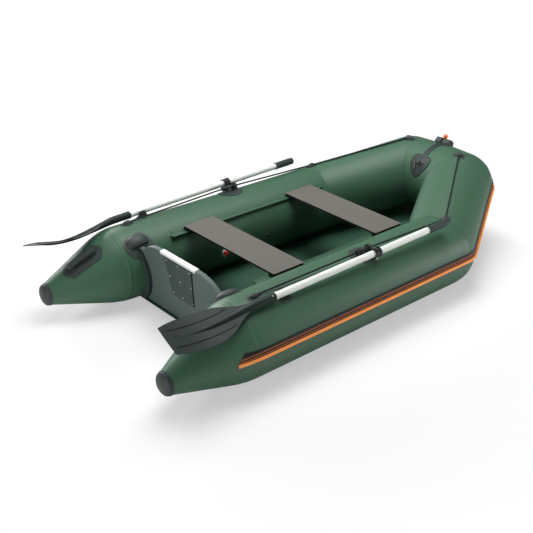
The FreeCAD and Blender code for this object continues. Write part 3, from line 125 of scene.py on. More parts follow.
class Expr:
    """A shader socket whose operators add Math nodes."""

    def __init__(self, graph: "Graph", value: Any) -> None:
        """Keep the graph that the nodes belong to, and the output socket."""
        self.graph = graph
        self.value = value

    def math(self, operation: str, *operands: Any) -> "Expr":
        """Add one Math node."""
        return self.graph.node("ShaderNodeMath", {"operation": operation}, dict(enumerate(operands)))

    __add__, __radd__ = operator("ADD"), operator("ADD", True)
    __sub__, __rsub__ = operator("SUBTRACT"), operator("SUBTRACT", True)
    __mul__, __rmul__ = operator("MULTIPLY"), operator("MULTIPLY", True)
    __truediv__, __rtruediv__ = operator("DIVIDE"), operator("DIVIDE", True)
    __pow__, __rpow__ = operator("POWER"), operator("POWER", True)
    __gt__, __lt__ = operator("GREATER_THAN"), operator("LESS_THAN")

    def __abs__(self) -> "Expr":
        """Size without the sign."""
        return self.math("ABSOLUTE", self)

    def clamped(self) -> "Expr":
        """The value held between 0 and 1."""
        return self.graph.node("ShaderNodeClamp", {}, {"Value": self})


class Graph:
    """Node tree of one material, with one method that adds any node."""

    def __init__(self, name: str) -> None:
        """Make an empty material with its shader and output.

        Args:
            name: name of the material.
        """
        self.material = bpy.data.materials.new(name)
        self.material.use_nodes = True
        self.tree = self.material.node_tree
        self.tree.nodes.clear()
        self.output = self.tree.nodes.new("ShaderNodeOutputMaterial")
        self.shader = self.tree.nodes.new("ShaderNodeBsdfPrincipled")
        self.tree.links.new(self.shader.outputs[0], self.output.inputs[0])

    def node(self, kind: str, settings: dict[str, Any], inputs: dict[Any, Any], output: Any = 0) -> Expr:
        """Add a node.

        Args:
            kind: the node's type.
            settings: attributes that are set first.
            inputs: values or expressions by socket name or number.
            output: name or number of the output to return.

        Returns:
            The output as an expression.
        """
        made = self.tree.nodes.new(kind)
        for key, value in settings.items():
            setattr(made, key, value)
        for key, value in inputs.items():
            self.feed(made.inputs[key], value)
        return Expr(self, made.outputs[output])

    def feed(self, socket: bpy.types.NodeSocket, value: Any) -> None:
        """Set or link one socket.

        Args:
            socket: the socket.
            value: a number, a colour or an expression.
        """
        if isinstance(value, Expr):
            self.tree.links.new(value.value, socket)
        else:
            socket.default_value = value

    def set(self, socket: str, value: Any) -> None:
        """Feed a value to the shader's socket of that name."""
        self.feed(self.shader.inputs[socket], value)

    def place(self) -> Expr:
        """Object coordinates."""
        return self.node("ShaderNodeTexCoord", {}, {}, "Object")

    def axes(self) -> tuple[Expr, Expr, Expr]:
        """X, Y and Z of the Object coordinates, each as an expression."""
        split = self.node("ShaderNodeSeparateXYZ", {}, {0: self.place()}).value.node
        return tuple(Expr(self, split.outputs[i]) for i in range(3))

    def noise(self, scale: float, detail: float = 2.0, where: Expr | None = None) -> Expr:
        """Noise between 0 and 1, its scale in cycles to a metre, at the given or the Object coordinates."""
        inputs = {"Vector": where or self.place(), "Scale": scale, "Detail": detail}
        return self.node("ShaderNodeTexNoise", {}, inputs)

    def mix(self, factor: Any, first: Any, second: Any) -> Expr:
        """Blend two colours.

        Args:
            factor: 0 for the first and 1 for the second.
            first: a colour or an expression.
            second: a colour or an expression.

        Returns:
            The blended colour.
        """
        ends = [(*c, 1.0) if isinstance(c, tuple) else c for c in (first, second)]
        settings = {"data_type": "RGBA", "clamp_factor": True}
        return self.node("ShaderNodeMix", settings, {0: factor, 6: ends[0], 7: ends[1]}, 2)

    def relief(self, height: Expr, depth: float) -> None:
        """Feed a height into the normal, with the real depth of a step of one in metres."""
        self.set("Normal", self.node("ShaderNodeBump", {}, {"Height": height, "Distance": depth}))


# Places on the hull


@dataclass(frozen=True)
class Frame:
    """A place with three unit axes, the rows of a 3 by 3 array."""

    base: Array
    axes: Array

    def at(self, x: Any, y: Any, z: Any) -> Array:
        """World points, of shape (..., 3), of places along the three axes."""
        local = np.stack(np.broadcast_arrays(*(np.asarray(c, float) for c in (x, y, z))), axis=-1)
        return self.base + local @ self.axes

    def line(self, first: Point, last: Point, count: int) -> Array:
        """Straight row of world points, of shape (count, 3), between two local ones."""
        return self.at(*np.linspace(first, last, count).T)


@dataclass(frozen=True)
class HullShape:
    """Sizes of the hull's tubes, and the points that follow from them."""

    radius: float = 0.2143
    half_beam: float = 0.7557
    toe: float = math.radians(0.862)
    cone_start: float = -0.970
    cone_end: float = -1.372
    blend: float = 0.080
    end_radius: float = 0.0576
    toe_out: float = 0.0199
    end_drop: float = 0.0532
    shoulder_x: float = 0.6003
    corner: Point = (1.1438, 0.197, 0.3755)
    nose: Point = (1.1622, 0.0, 0.3755)

    @property
    def axis_y(self) -> float:
        """Distance of the side tube's axis from the middle at the start of the cone."""
        return self.half_beam - self.radius

    def taper(self, x: Array) -> Array:
        """Share of the cone's narrowing.

        It is a parabola over the blend and a straight line behind it.

        Args:
            x: places along the boat.

        Returns:
            0 on the plain tube and 1 at the cone's end.
        """
        way = self.cone_start - np.asarray(x, float)
        soft = np.clip(way + self.blend, 0.0, None) ** 2 / (4.0 * self.blend)
        return np.where(way < self.blend, soft, way) / (self.cone_start - self.cone_end)

    def skin(self, x: Array, angle: Array, lift: Array = 0.0, side: int = 1) -> Array:
        """Points on a side tube or its cone.

        The centre follows the toed-in axis, lowered and spread by the taper. The point stands off it by the
        tapered radius in the direction of the angle.

        Args:
            x: places along the boat.
            angle: degrees from straight up, positive to outboard.
            lift: height over the skin.
            side: 1 for port and -1 for starboard.

        Returns:
            Array of shape (..., 3).
        """
        share = self.taper(x)
        turn = np.radians(angle)
        reach = self.radius + (self.end_radius - self.radius) * share + lift
        along = (np.asarray(x, float) - self.cone_start) / math.cos(self.toe)
        across = self.toe_out * share + reach * np.sin(turn)
        rise = reach * np.cos(turn) - self.end_drop * share
        parts = (self.cone_start + along * math.cos(self.toe) + across * math.sin(self.toe),
                 (self.axis_y - along * math.sin(self.toe) + across * math.cos(self.toe)) * side,
                 self.radius + rise)
        return np.stack(np.broadcast_arrays(*parts), axis=-1)

    def frame(self, x: float, angle: float, lift: float = 0.0) -> Frame:
        """Frame on the port tube's skin: along the boat, outboard along the skin, outward.

        Args:
            x: place along the boat.
            angle: degrees from straight up, positive to outboard.
            lift: height over the skin.

        Returns:
            The frame.
        """
        turn = math.radians(angle)
        along = np.array((math.cos(self.toe), -math.sin(self.toe), 0.0))
        across = np.array((math.sin(self.toe), math.cos(self.toe), 0.0))
        up = np.array((0.0, 0.0, 1.0))
        out = across * math.sin(turn) + up * math.cos(turn)
        return Frame(self.skin(x, angle, lift), np.stack((along, np.cross(out, along), out)))

    def corners(self) -> Array:
        """Corners of the tubes' axis from the port cone over the bow to the starboard cone."""
        ends = (self.cone_start + self.blend, self.shoulder_x)
        half = [*(self.skin(x, 0.0, -self.radius) for x in ends), np.array(self.corner)]
        return np.array([*half, self.nose, *(Side.STARBOARD.turned(p) for p in half[::-1])])

    def bow_skin(self, y: Array, angle: Array, lift: float) -> Array:
        """Points on the front tube, whose axis is a shallow V.

        The axis falls back from the nose in proportion to the distance across. The point stands off it by
        the radius and the lift, in the direction of the angle.

        Args:
            y: places across.
            angle: degrees from straight up, positive forward.
            lift: height over the skin.

        Returns:
            Array of shape (..., 3).
        """
        turn = np.radians(angle)
        slope = (self.nose[0] - self.corner[0]) / self.corner[1]
        reach = self.radius + lift
        parts = (self.nose[0] - np.abs(y) * slope + reach * np.sin(turn), np.asarray(y, float),
                 self.nose[2] + reach * np.cos(turn))
        return np.stack(np.broadcast_arrays(*parts), axis=-1)


# Finishes


@dataclass(frozen=True)
class Finish:
    """A surface of one colour with a slight mottle, its gloss and its fine grain."""

    name: str
    slot: str
    colour: Colour
    roughness: float = 0.5
    metallic: float = 0.0
    specular: float = 0.5
    coat: float = 0.0
    mottle: float = 0.06
    mottle_scale: float = 9.0
    mottle_detail: float = 3.0
    gloss_spread: float = 0.10
    gloss_scale_share: float = 3.0
    grain_scale: float = 900.0
    grain_depth: float = 0.15 * MM

    def tint(self, graph: Graph) -> Expr:
        """Base colour with its mottle.

        Args:
            graph: the material's graph.

        Returns:
            The colour.
        """
        dark = tuple(c * (1.0 - self.mottle) for c in self.colour)
        light = tuple(min(c * (1.0 + self.mottle), 1.0) for c in self.colour)
        return graph.mix(graph.noise(self.mottle_scale, self.mottle_detail), dark, light)

    def height(self, graph: Graph) -> Expr:
        """Height of the fine grain."""
        return graph.noise(self.grain_scale)

    def build(self) -> bpy.types.Material:
        """Make the material.

        Returns:
            The finished material.
        """
        graph = Graph(self.name)
        graph.set("Base Color", self.tint(graph))
        gloss = graph.noise(self.mottle_scale * self.gloss_scale_share, self.mottle_detail)
        rough = gloss * self.gloss_spread + (self.roughness - self.gloss_spread / 2.0)
        graph.set("Roughness", rough.clamped())
        graph.set("Metallic", self.metallic)
        graph.set("Specular IOR Level", self.specular)
        graph.set("Coat Weight", self.coat)
        graph.relief(self.height(graph), self.grain_depth)
        return graph.material


@dataclass(frozen=True)
class BenchFinish(Finish):
    """Coated board: a grey top with dark edges and underside."""

    edge_colour: Colour = (0.012, 0.013, 0.012)
    top_height: float = 0.396
    edge_depth: float = 1.2 * MM

    def tint(self, graph: Graph) -> Expr:
        """Base colour, dark below the top face."""
        _, _, z = graph.axes()
        return graph.mix(z < (self.top_height - self.edge_depth), super().tint(graph), self.edge_colour)


@dataclass(frozen=True)
class LugFinish(Finish):
    """Black loop on a pad of the tube's colour."""

    pad_colour: Colour = (0.040, 0.093, 0.057)
    pad_height: float = 3.4 * MM
    hull: HullShape = HullShape()

    def tint(self, graph: Graph) -> Expr:
        """Base colour, that of the pad within its height over the side tube.

        Args:
            graph: the material's graph.

        Returns:
            The colour.
        """
        x, y, z = graph.axes()
        across = abs(y) - self.hull.axis_y + (x - self.hull.cone_start) * math.tan(self.hull.toe)
        rise = z - self.hull.radius
        reach = (across * across + rise * rise) ** 0.5
        return graph.mix(reach > self.hull.radius + self.pad_height, self.pad_colour, super().tint(graph))


@dataclass(frozen=True)
class FabricFinish(Finish):
    """Coated fabric with a slight unevenness of the skin."""

    grain_share: float = 0.5
    swell_scale: float = 3.2
    swell_detail: float = 1.0
    swell_share: float = 7.0

    def height(self, graph: Graph) -> Expr:
        """Fine grain on a slow swell."""
        swell = graph.noise(self.swell_scale, self.swell_detail) * self.swell_share
        return graph.noise(self.grain_scale, 1.0) * self.grain_share + swell


@dataclass(frozen=True)
class BrushedFinish(Finish):
    """Drawn metal with fine lines along the boat."""

    line_scale: float = 45.0
    line_detail: float = 3.0
    stretch: tuple[float, float, float] = (3.0, 60.0, 60.0)

    def height(self, graph: Graph) -> Expr:
        """Noise that is drawn out along the boat."""
        where = graph.node("ShaderNodeMapping", {}, {"Vector": graph.place(), "Scale": self.stretch})
        return graph.noise(self.line_scale, self.line_detail, where)


class Finishes:
    """The finishes of the boat, each made once when it is first asked for."""

    ALL: tuple[Finish, ...] = (
        FabricFinish("tube_green", "tube_skin", (0.049, 0.116, 0.070), 0.46, specular=0.32, mottle=0.04,
                     mottle_scale=3.0, grain_scale=700.0, grain_depth=0.10 * MM),
        # The floor sheet's green is darker than the tubes', partly as the fabric's own tone and partly as
        # painted shade for the dark inside of the cockpit.
        FabricFinish("floor_green", "floor_fabric", (0.030, 0.085, 0.052), 0.60, specular=0.3,
                     grain_share=0.6, swell_scale=30.0, swell_detail=3.0, swell_share=2.0),
        Finish("moulded_grey", "grey_pvc", (0.034, 0.046, 0.043), 0.50, specular=0.30),
        Finish("cap_grey", "dark_grey_plastic", (0.034, 0.046, 0.045), 0.52, specular=0.30),
        Finish("board_grey", "painted_board", (0.098, 0.132, 0.121), 0.58, specular=0.25),
        Finish("plate_grey", "plate_plastic", (0.052, 0.074, 0.070), 0.55, specular=0.25),
        BrushedFinish("plain_aluminium", "aluminium", (0.78, 0.81, 0.77), 0.45, metallic=0.10, mottle=0.02),
        BenchFinish("bench_grey", "bench_board", (0.122, 0.116, 0.102), 0.66, specular=0.2,
                    grain_scale=1400.0),
        Finish("black_plastic", "black_plastic", (0.010, 0.014, 0.013), 0.28, specular=0.45),
        Finish("strake_black", "strake_black", (0.007, 0.013, 0.014), 0.50, specular=0.22),
        Finish("bead_orange", "strake_orange", (0.95, 0.33, 0.075), 0.45, specular=0.3),
        Finish("ridge_orange", "strake_orange", (0.55, 0.15, 0.035), 0.55, specular=0.2),
        Finish("rope_black", "rope_black", (0.014, 0.020, 0.019), 0.80, specular=0.2),
        Finish("screw_bright", "aluminium", (0.78, 0.80, 0.78), 0.40, metallic=0.15),
        Finish("signal_orange", "orange_plastic", (1.0, 0.13, 0.02), 0.35, coat=0.3),
        Finish("valve_red", "orange_plastic", (0.92, 0.07, 0.025), 0.35, coat=0.3),
        Finish("valve_pale", "pale_plastic", (0.80, 0.84, 0.82), 0.45),
        Finish("grip_grey", "black_plastic", (0.036, 0.052, 0.047), 0.55, specular=0.25),
        LugFinish("clip_black", "grey_pvc", (0.014, 0.020, 0.018), 0.45, specular=0.3),
        Finish("blade_grey", "blade_plastic", (0.017, 0.027, 0.024), 0.42, specular=0.16),
    )

    def __init__(self) -> None:
        """Index the finishes by their own names, and the first finish of each slot by the slot."""
        self._by_key = {finish.name: finish for finish in self.ALL}
        for finish in reversed(self.ALL):
            self._by_key[finish.slot] = finish
        self._made: dict[str, bpy.types.Material] = {}

    def dress(self, piece: bpy.types.Object, key: str) -> str:
        """Give a piece a finish, whose material is made on first use.

        Args:
            piece: the object.
            key: name of the finish or of a slot.

        Returns:
            The record's slot that the finish belongs to.
        """
        finish = self._by_key[key]
        if finish.name not in self._made:
            self._made[finish.name] = finish.build()
        piece.data.materials.clear()
        piece.data.materials.append(self._made[finish.name])
        return finish.slot


# Surfaces


def mesh_piece(name: str, points: Array, faces: Sequence[Sequence[int]]) -> bpy.types.Object:
    """Make a smooth object from points and faces, with the faces of a closed mesh turned outward.

    Args:
        name: name of the object.
        points: array of shape (n, 3).
        faces: point numbers of each face.

    Returns:
        The object, linked to the scene.
    """
    mesh = bpy.data.meshes.new(name)
    mesh.from_pydata(np.asarray(points).tolist(), [], [list(f) for f in faces])
    mesh.polygons.foreach_set("use_smooth", [True] * len(mesh.polygons))
    mesh.validate()
    work = bmesh.new()
    work.from_mesh(mesh)
    bmesh.ops.recalc_face_normals(work, faces=work.faces)
    work.to_mesh(mesh)
    work.free()
    mesh.update()
    piece = bpy.data.objects.new(name, mesh)
    bpy.context.scene.collection.objects.link(piece)
    return piece


def grid_faces(rows: int, around: int, closed: bool = False, first: int = 0) -> list[tuple[int, ...]]:
    """Faces of a grid of points numbered ring by ring.

    Args:
        rows: number of rings.
        around: number of points in a ring.
        closed: whether the last ring joins the first.
        first: number of the grid's first point.

    Returns:
        One four-sided face for each cell.
    """
    i, j = np.meshgrid(np.arange(rows if closed else rows - 1), np.arange(around), indexing="ij")
    ni, nj = (i + 1) % rows, (j + 1) % around
    cells = np.stack([i * around + j, ni * around + j, ni * around + nj, i * around + nj], axis=-1)
    return [tuple(cell) for cell in (cells.reshape(-1, 4) + first).tolist()]


def capped_faces(rows: int, around: int, first: int = 0) -> list[tuple[int, ...]]:
    """Faces of a row of rings with a flat cap on each end.

    Args:
        rows: number of rings.
        around: number of points in a ring.
        first: number of the first point.

    Returns:
        The cells between the rings and the two caps.
    """
    last = first + (rows - 1) * around
    caps = [tuple(range(first, first + around))[::-1], tuple(range(last, last + around))]
    return grid_faces(rows, around, first=first) + caps


def carried_rings(path: Array, reach: Any, around: int, closed: bool = False) -> Array:
    """Rings round a path, each square to it, turned as little as possible from ring to ring.

    The path's direction is its central difference. The first ring's side is level, and each next side is the
    last one less its part along the new direction.

    Args:
        path: array of shape (n, 3).
        reach: one radius, one for each ring, or one for each ring and angle.
        around: points to a ring.
        closed: whether the path's end joins its start.

    Returns:
        Points of shape (n, around, 3).
    """
    if closed:
        way = np.roll(path, -1, axis=0) - np.roll(path, 1, axis=0)
    else:
        way = np.gradient(path, axis=0)
    way = unit(way)
    side = np.empty_like(way)
    side[0] = unit(np.cross((0.0, 0.0, 1.0), way[0]))
    for k in range(1, len(way)):
        side[k] = unit(side[k - 1] - way[k] * np.dot(side[k - 1], way[k]))
    up = np.cross(way, side)
    angle = np.linspace(0.0, 2.0 * math.pi, around, endpoint=False)
    ring = side[:, None] * np.cos(angle)[None, :, None] + up[:, None] * np.sin(angle)[None, :, None]
    size = np.asarray(reach, float)
    size = np.broadcast_to(size.reshape(-1, 1) if size.ndim < 2 else size, (len(path), around))
    return path[:, None] + ring * size[:, :, None]


def bars(name: str, paths: Sequence[Array], reach: Any, around: int = 8,
         closed: bool = False) -> bpy.types.Object:
    """One or more like round bars in one object, each a closed surface.

    Args:
        name: name of the object.
        paths: the bars' paths, all of one length.
        reach: radius of the rings as in carried_rings.
        around: points to a ring.
        closed: whether each bar is a loop.

    Returns:
        The object.
    """
    points: list[Array] = []
    faces: list[tuple[int, ...]] = []
    for path in paths:
        first = sum(len(p) for p in points)
        points.append(carried_rings(path, reach, around, closed).reshape(-1, 3))
        if closed:
            faces += grid_faces(len(path), around, True, first)
        else:
            faces += capped_faces(len(path), around, first)
    return mesh_piece(name, np.concatenate(points), faces)


def ridge_band(name: str, rows: Array, height: Array) -> bpy.types.Object:
    """Low closed ridge on a surface: a top sheet that stands off a buried bottom sheet.

    The outward direction is the cross product of the surface's steps along and across the ridge, with the
    sign that leads away from the ridge's middle.

    Args:
        name: name of the object.
        rows: surface points of shape (n, m, 3), m across the ridge.
        height: the top's height at each of the m places.

    Returns:
        The object.
    """
    out = unit(np.cross(np.gradient(rows, axis=0), np.gradient(rows, axis=1)))
    centre = rows.reshape(-1, 3).mean(axis=0)
    if np.sum(out * (rows - centre)) < 0.0:
        out = -out
    ring = np.concatenate([rows + out * height[None, :, None], (rows - out * BURIED)[:, ::-1]], axis=1)
    return mesh_piece(name, ring.reshape(-1, 3), capped_faces(len(rows), ring.shape[1]))


def filleted(corners: Array, reaches: Sequence[float], step: float) -> Array:
    """Straight runs joined by tangent arcs, sampled at an even step.

    An arc starts its reach before the corner and has that reach over the tangent of half the turn as radius.

    Args:
        corners: array of shape (n, 3).
        reaches: reach of each inner corner's arc along its two runs.
        step: spacing of the samples.

    Returns:
        Array of shape (m, 3).
    """
    dense = [corners[:1]]
    for before, corner, after, reach in zip(corners, corners[1:], corners[2:], reaches):
        back, ahead = unit(before - corner), unit(after - corner)
        half = math.acos(np.dot(back, ahead)) / 2.0
        centre = corner + unit(back + ahead) * reach / math.cos(half)
        first, last = corner + back * reach - centre, corner + ahead * reach - centre
        dense.append(centre + swung(first, last, ARC_POINTS))
    dense.append(corners[-1:])
    rough = np.concatenate(dense)
    length = np.concatenate([[0.0], np.cumsum(np.linalg.norm(np.diff(rough, axis=0), axis=1))])
    even = np.linspace(0.0, length[-1], int(length[-1] / step) + 1)
    return np.stack([np.interp(even, length, rough[:, i]) for i in range(3)], axis=1)


# Sub-assemblies


@dataclass
class SubAssembly:
    """A group of pieces that are dressed together."""

    finishes: Finishes
    hull: HullShape = HullShape()
    pieces: list[bpy.types.Object] = field(default_factory=list)

    def add(self, piece: bpy.types.Object, key: str, body: str = "hull",
            replaces: Sequence[str] = ()) -> None:
        """Dress a new piece and hang it on its body.

        Args:
            piece: the object.
            key: name of the finish or of a slot.
            body: the body that it rides on.
            replaces: CAD nodes that it stands for.
        """
        self.finishes.dress(piece, key)
        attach(piece, body)
        if replaces:
            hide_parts(*replaces)
        self.pieces.append(piece)

    def add_pair(self, name: str, paths: Sequence[Array], reach: Any, key: str, around: int = 8,
                 closed: bool = False, body: str = "hull", replaced: str = "") -> None:
        """Add like bars on both sides, those to starboard mirrored.

        Args:
            name: name of the pieces, with {} for the side.
            paths: the port bars' paths.
            reach: radius of the rings as in carried_rings.
            key: name of the finish or of a slot.
            around: points to a ring.
            closed: whether each bar is a loop.
            body: the body that they ride on, with {} for the side where it has one.
            replaced: CAD node that each stands for, with {} for the side, or nothing.
        """
        for side in Side:
            turned = [side.turned(path) for path in paths]
            piece = bars(name.format(side.word), turned, reach, around, closed)
            self.add(piece, key, body.format(side.word), [replaced.format(side.word)] if replaced else ())


@dataclass
class CadDress(SubAssembly):
    """Gives every CAD node the material of its record slot, or a finish of its own from the same slot."""

    own: tuple[tuple[str, str], ...] = (("valve_cap", "valve_red"), ("oar_grip", "grip_grey"),
                                        ("oar_clip", "clip_black"))

    def build(self, record: dict[str, Any], nodes: dict[str, bpy.types.Object]) -> None:
        """Dress the nodes.

        Args:
            record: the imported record.
            nodes: CAD objects by name.
        """
        for entry in record["subparts"]:
            name, slot = entry["node"], entry["material_slot"]
            key = next((finish for start, finish in self.own if name.startswith(start)), slot)
            self.finishes.dress(nodes[name], key)
            self.pieces.append(nodes[name])


@dataclass
class GrabLines(SubAssembly):
    """Braided grab lines along the CAD route."""

    corners: tuple[Point, ...] = (
        (-0.84410, 0.56590, 0.43563), (-0.16929, 0.57591, 0.45158), (-0.00881, 0.57350, 0.45158),
        (0.58471, 0.56512, 0.43217), (1.11393, 0.20700, 0.59639))
    reach: float = 0.028
    radius: float = 0.005
    strands: int = 6
    strand_points: int = 4
    pitch: float = 0.024
    relief: float = 0.10
    step: float = 0.0015

    def build(self) -> None:
        """Make both lines.

        The radius swells where two sets of strands cross: it follows the larger of two cosines, one of the
        angle plus the twist and one of the angle less the twist, and stays within the CAD line.
        """
        path = filleted(np.array(self.corners), [self.reach] * (len(self.corners) - 2), self.step)
        around = self.strands * self.strand_points
        angle = np.linspace(0.0, 2.0 * math.pi, around, endpoint=False)[None, :]
        twist = (np.arange(len(path)) * self.step * 2.0 * math.pi / self.pitch)[:, None]
        half = self.strands / 2.0
        swell = np.maximum(np.cos(half * (angle + twist)), np.cos(half * (angle - twist)))
        reach = self.radius * (1.0 - self.relief * (1.0 - swell) / 2.0)
        self.add_pair("braided_grab_line_{}", [path], reach, "rope_black", around, replaced="grab_line_{}")


@dataclass
class StrakeRidges(SubAssembly):
    """Two thin raised lines that run all the way round on the rub strake."""

    lifts: Row = (0.0326, 0.0187)
    tails: Row = (-1.046, -1.051)
    proud: float = 0.0034
    radius: float = 0.0019
    around: int = 10
    nose_bulge: float = 0.0009
    aft_steps: int = 12
    bend_steps: int = 9

    def path(self, lift: float, tail: float) -> Array:
        """Route of one line over the band.

        On a straight run it stands off the axis to outboard and up, so that its height over the axis is the
        lift. Round a corner that offset turns evenly from one run's to the next one's.

        Args:
            lift: height over the tubes' axis.
            tail: place of its aft end.

        Returns:
            Array of shape (n, 3) from the port tail over the bow to the starboard tail.
        """
        reach = self.hull.radius + self.proud
        rise = math.asin(lift / self.hull.radius)
        corners = self.hull.corners()[:4]
        run = unit(np.diff(corners, axis=0))
        side = unit(np.cross((0.0, 0.0, 1.0), run))
        offsets = (side * math.cos(rise) + np.cross(run, side) * math.sin(rise)) * reach
        aft = np.linspace(tail, corners[0][0], self.aft_steps)[:-1]
        half = [self.hull.skin(aft, 90.0 - math.degrees(rise), self.proud)]
        for corner, before, after in zip(corners[1:], offsets, offsets[1:]):
            half.append(corner + swung(before, after, self.bend_steps))
        front = corners[3] + offsets[2]
        port = np.concatenate([*half, front[None]])
        middle = np.array((front[0] + self.nose_bulge, 0.0, front[2]))
        return np.concatenate([port, middle[None], Side.STARBOARD.turned(port[::-1])])

    def build(self) -> None:
        """Make the lines."""
        for number, (lift, tail) in enumerate(zip(self.lifts, self.tails)):
            path = self.path(lift, tail)
            self.add(bars(f"strake_ridge_{number}", [path], self.radius, self.around), "ridge_orange")


@dataclass
class HullSeams(SubAssembly):
    """Seams of the tube fabric: laps round the cones, welds in the bends and tapes along the sheet."""

    lap: float = 0.010
    thickness: float = 0.0005
    ring_place: float = -0.962
    ring_profile: Row = (0.0, 1.0, 1.0, 1.0, 0.0)
    around: int = 96
    weld_radius: float = 0.0011
    weld_lift: float = 0.0002
    tape_ends: Pair = (-0.775, 0.530)
    tape_steps: int = 28
    tape_profile: Row = (0.0, 1.0, 1.0, 0.0)
    tape_angles: tuple[tuple[str, float, float], ...] = (
        ("inner", -158.0, -147.0), ("under", -176.0, -167.0))

    def rings(self) -> None:
        """Overlapped fabric rings round the side tubes."""
        across = np.linspace(-self.lap, self.lap, len(self.ring_profile))
        height = np.array(self.ring_profile) * self.thickness
        angle = np.linspace(0.0, 360.0, self.around, endpoint=False)
        for side in Side:
            x, turn = np.meshgrid(self.ring_place + across, angle)
            rows = self.hull.skin(x, turn, 0.0, side.value)
            self.add(self.closed_band(f"seam_ring_{side.word}_0", rows, height), "tube_skin")

    def closed_band(self, name: str, rows: Array, height: Array) -> bpy.types.Object:
        """Ring-shaped low ridge, whose last row joins its first.

        Each point's outward direction leads away from the ring's centre, square to the boat's length.

        Args:
            name: name of the object.
            rows: surface points of shape (n, m, 3).
            height: the top's height at each of the m places.

        Returns:
            The object.
        """
        out = unit((rows - rows.mean(axis=(0, 1))) * (0.0, 1.0, 1.0))
        low = (rows - out * self.thickness)[:, ::-1]
        ring = np.concatenate([rows + out * height[None, :, None], low], axis=1)
        return mesh_piece(name, ring.reshape(-1, 3), grid_faces(len(rows), ring.shape[1], True))

    def mitres(self) -> None:
        """Weld lines in the planes that halve the bends of the tubes.

        On the outer half the line follows the ball-shaped elbow. On the inner half it follows the ellipse in
        which the two tubes meet.
        """
        corners = self.hull.corners()
        angle = np.linspace(0.0, 2.0 * math.pi, self.around, endpoint=False)[:, None]
        for number, k in enumerate((1, 2, 4, 5)):
            before, after = unit(np.diff(corners[k - 1:k + 2], axis=0))
            way = unit(before - after) * np.cos(angle) + unit(np.cross(before, after)) * np.sin(angle)
            slant = np.sqrt(1.0 - (way @ before) ** 2)[:, None]
            reach = np.where(np.cos(angle) > 0.0, 1.0, 1.0 / slant) * self.hull.radius
            path = corners[k] + way * (reach + self.weld_lift)
            self.add(bars(f"weld_line_{number}", [path], self.weld_radius, closed=True), "tube_skin")

    def tapes(self) -> None:
        """Tapes that hold the bottom sheet to the side tubes, inside and underneath."""
        x = np.linspace(*self.tape_ends, self.tape_steps)
        height = np.array(self.tape_profile) * self.thickness
        for side in Side:
            for word, low, high in self.tape_angles:
                places, turn = np.meshgrid(x, np.linspace(low, high, len(height)), indexing="ij")
                rows = self.hull.skin(places, turn, 0.0, side.value)
                self.add(ridge_band(f"sheet_tape_{word}_{side.word}", rows, height), "floor_fabric")

    def build(self) -> None:
        """Make all seams."""
        self.rings()
        self.mitres()
        self.tapes()


@dataclass
class Transom(SubAssembly):
    """Screws of the motor plate and the dark strip down its starboard edge."""

    lean: float = math.radians(7.4)
    foot_x: float = -0.815
    face_offset: float = 0.0165
    screw_radius: float = 0.0036
    screw_depth: float = 0.0010
    screw_height: float = 0.0016
    screw_profile: Row = (1.0, 1.0, 0.95, 0.55)
    screw_sides: int = 12
    screw_rows: tuple[Pair, ...] = ((0.104, 0.398), (0.096, 0.300), (0.086, 0.198))
    strip_radius: float = 0.0030
    strip_lift: float = 0.0010
    strip_ends: tuple[Pair, ...] = ((-0.0955, 0.186), (-0.1215, 0.402))
    strip_points: int = 4

    def frame(self) -> Frame:
        """Frame on the board's middle plane: outward and aft, to port, up the board."""
        sine, cosine = math.sin(self.lean), math.cos(self.lean)
        return Frame(np.array((self.foot_x, 0.0, 0.0)),
                     np.array(((-cosine, 0.0, -sine), (0.0, 1.0, 0.0), (-sine, 0.0, cosine))))

    def build(self) -> None:
        """Make the screws and the strip."""
        place = self.frame()
        low, high = self.face_offset - self.screw_depth, self.face_offset + self.screw_height
        paths = [place.line((low, y * share, z), (high, y * share, z), len(self.screw_profile))
                 for y, z in self.screw_rows for share in (-1.0, 0.0, 1.0)]
        reach = np.array(self.screw_profile) * self.screw_radius
        self.add(bars("motor_plate_screws", paths, reach, self.screw_sides), "screw_bright")
        foot, head = ((self.face_offset + self.strip_lift, y, z) for y, z in self.strip_ends)
        edge = place.line(foot, head, self.strip_points)
        self.add(bars("motor_plate_edge", [edge], self.strip_radius), "black_plastic")


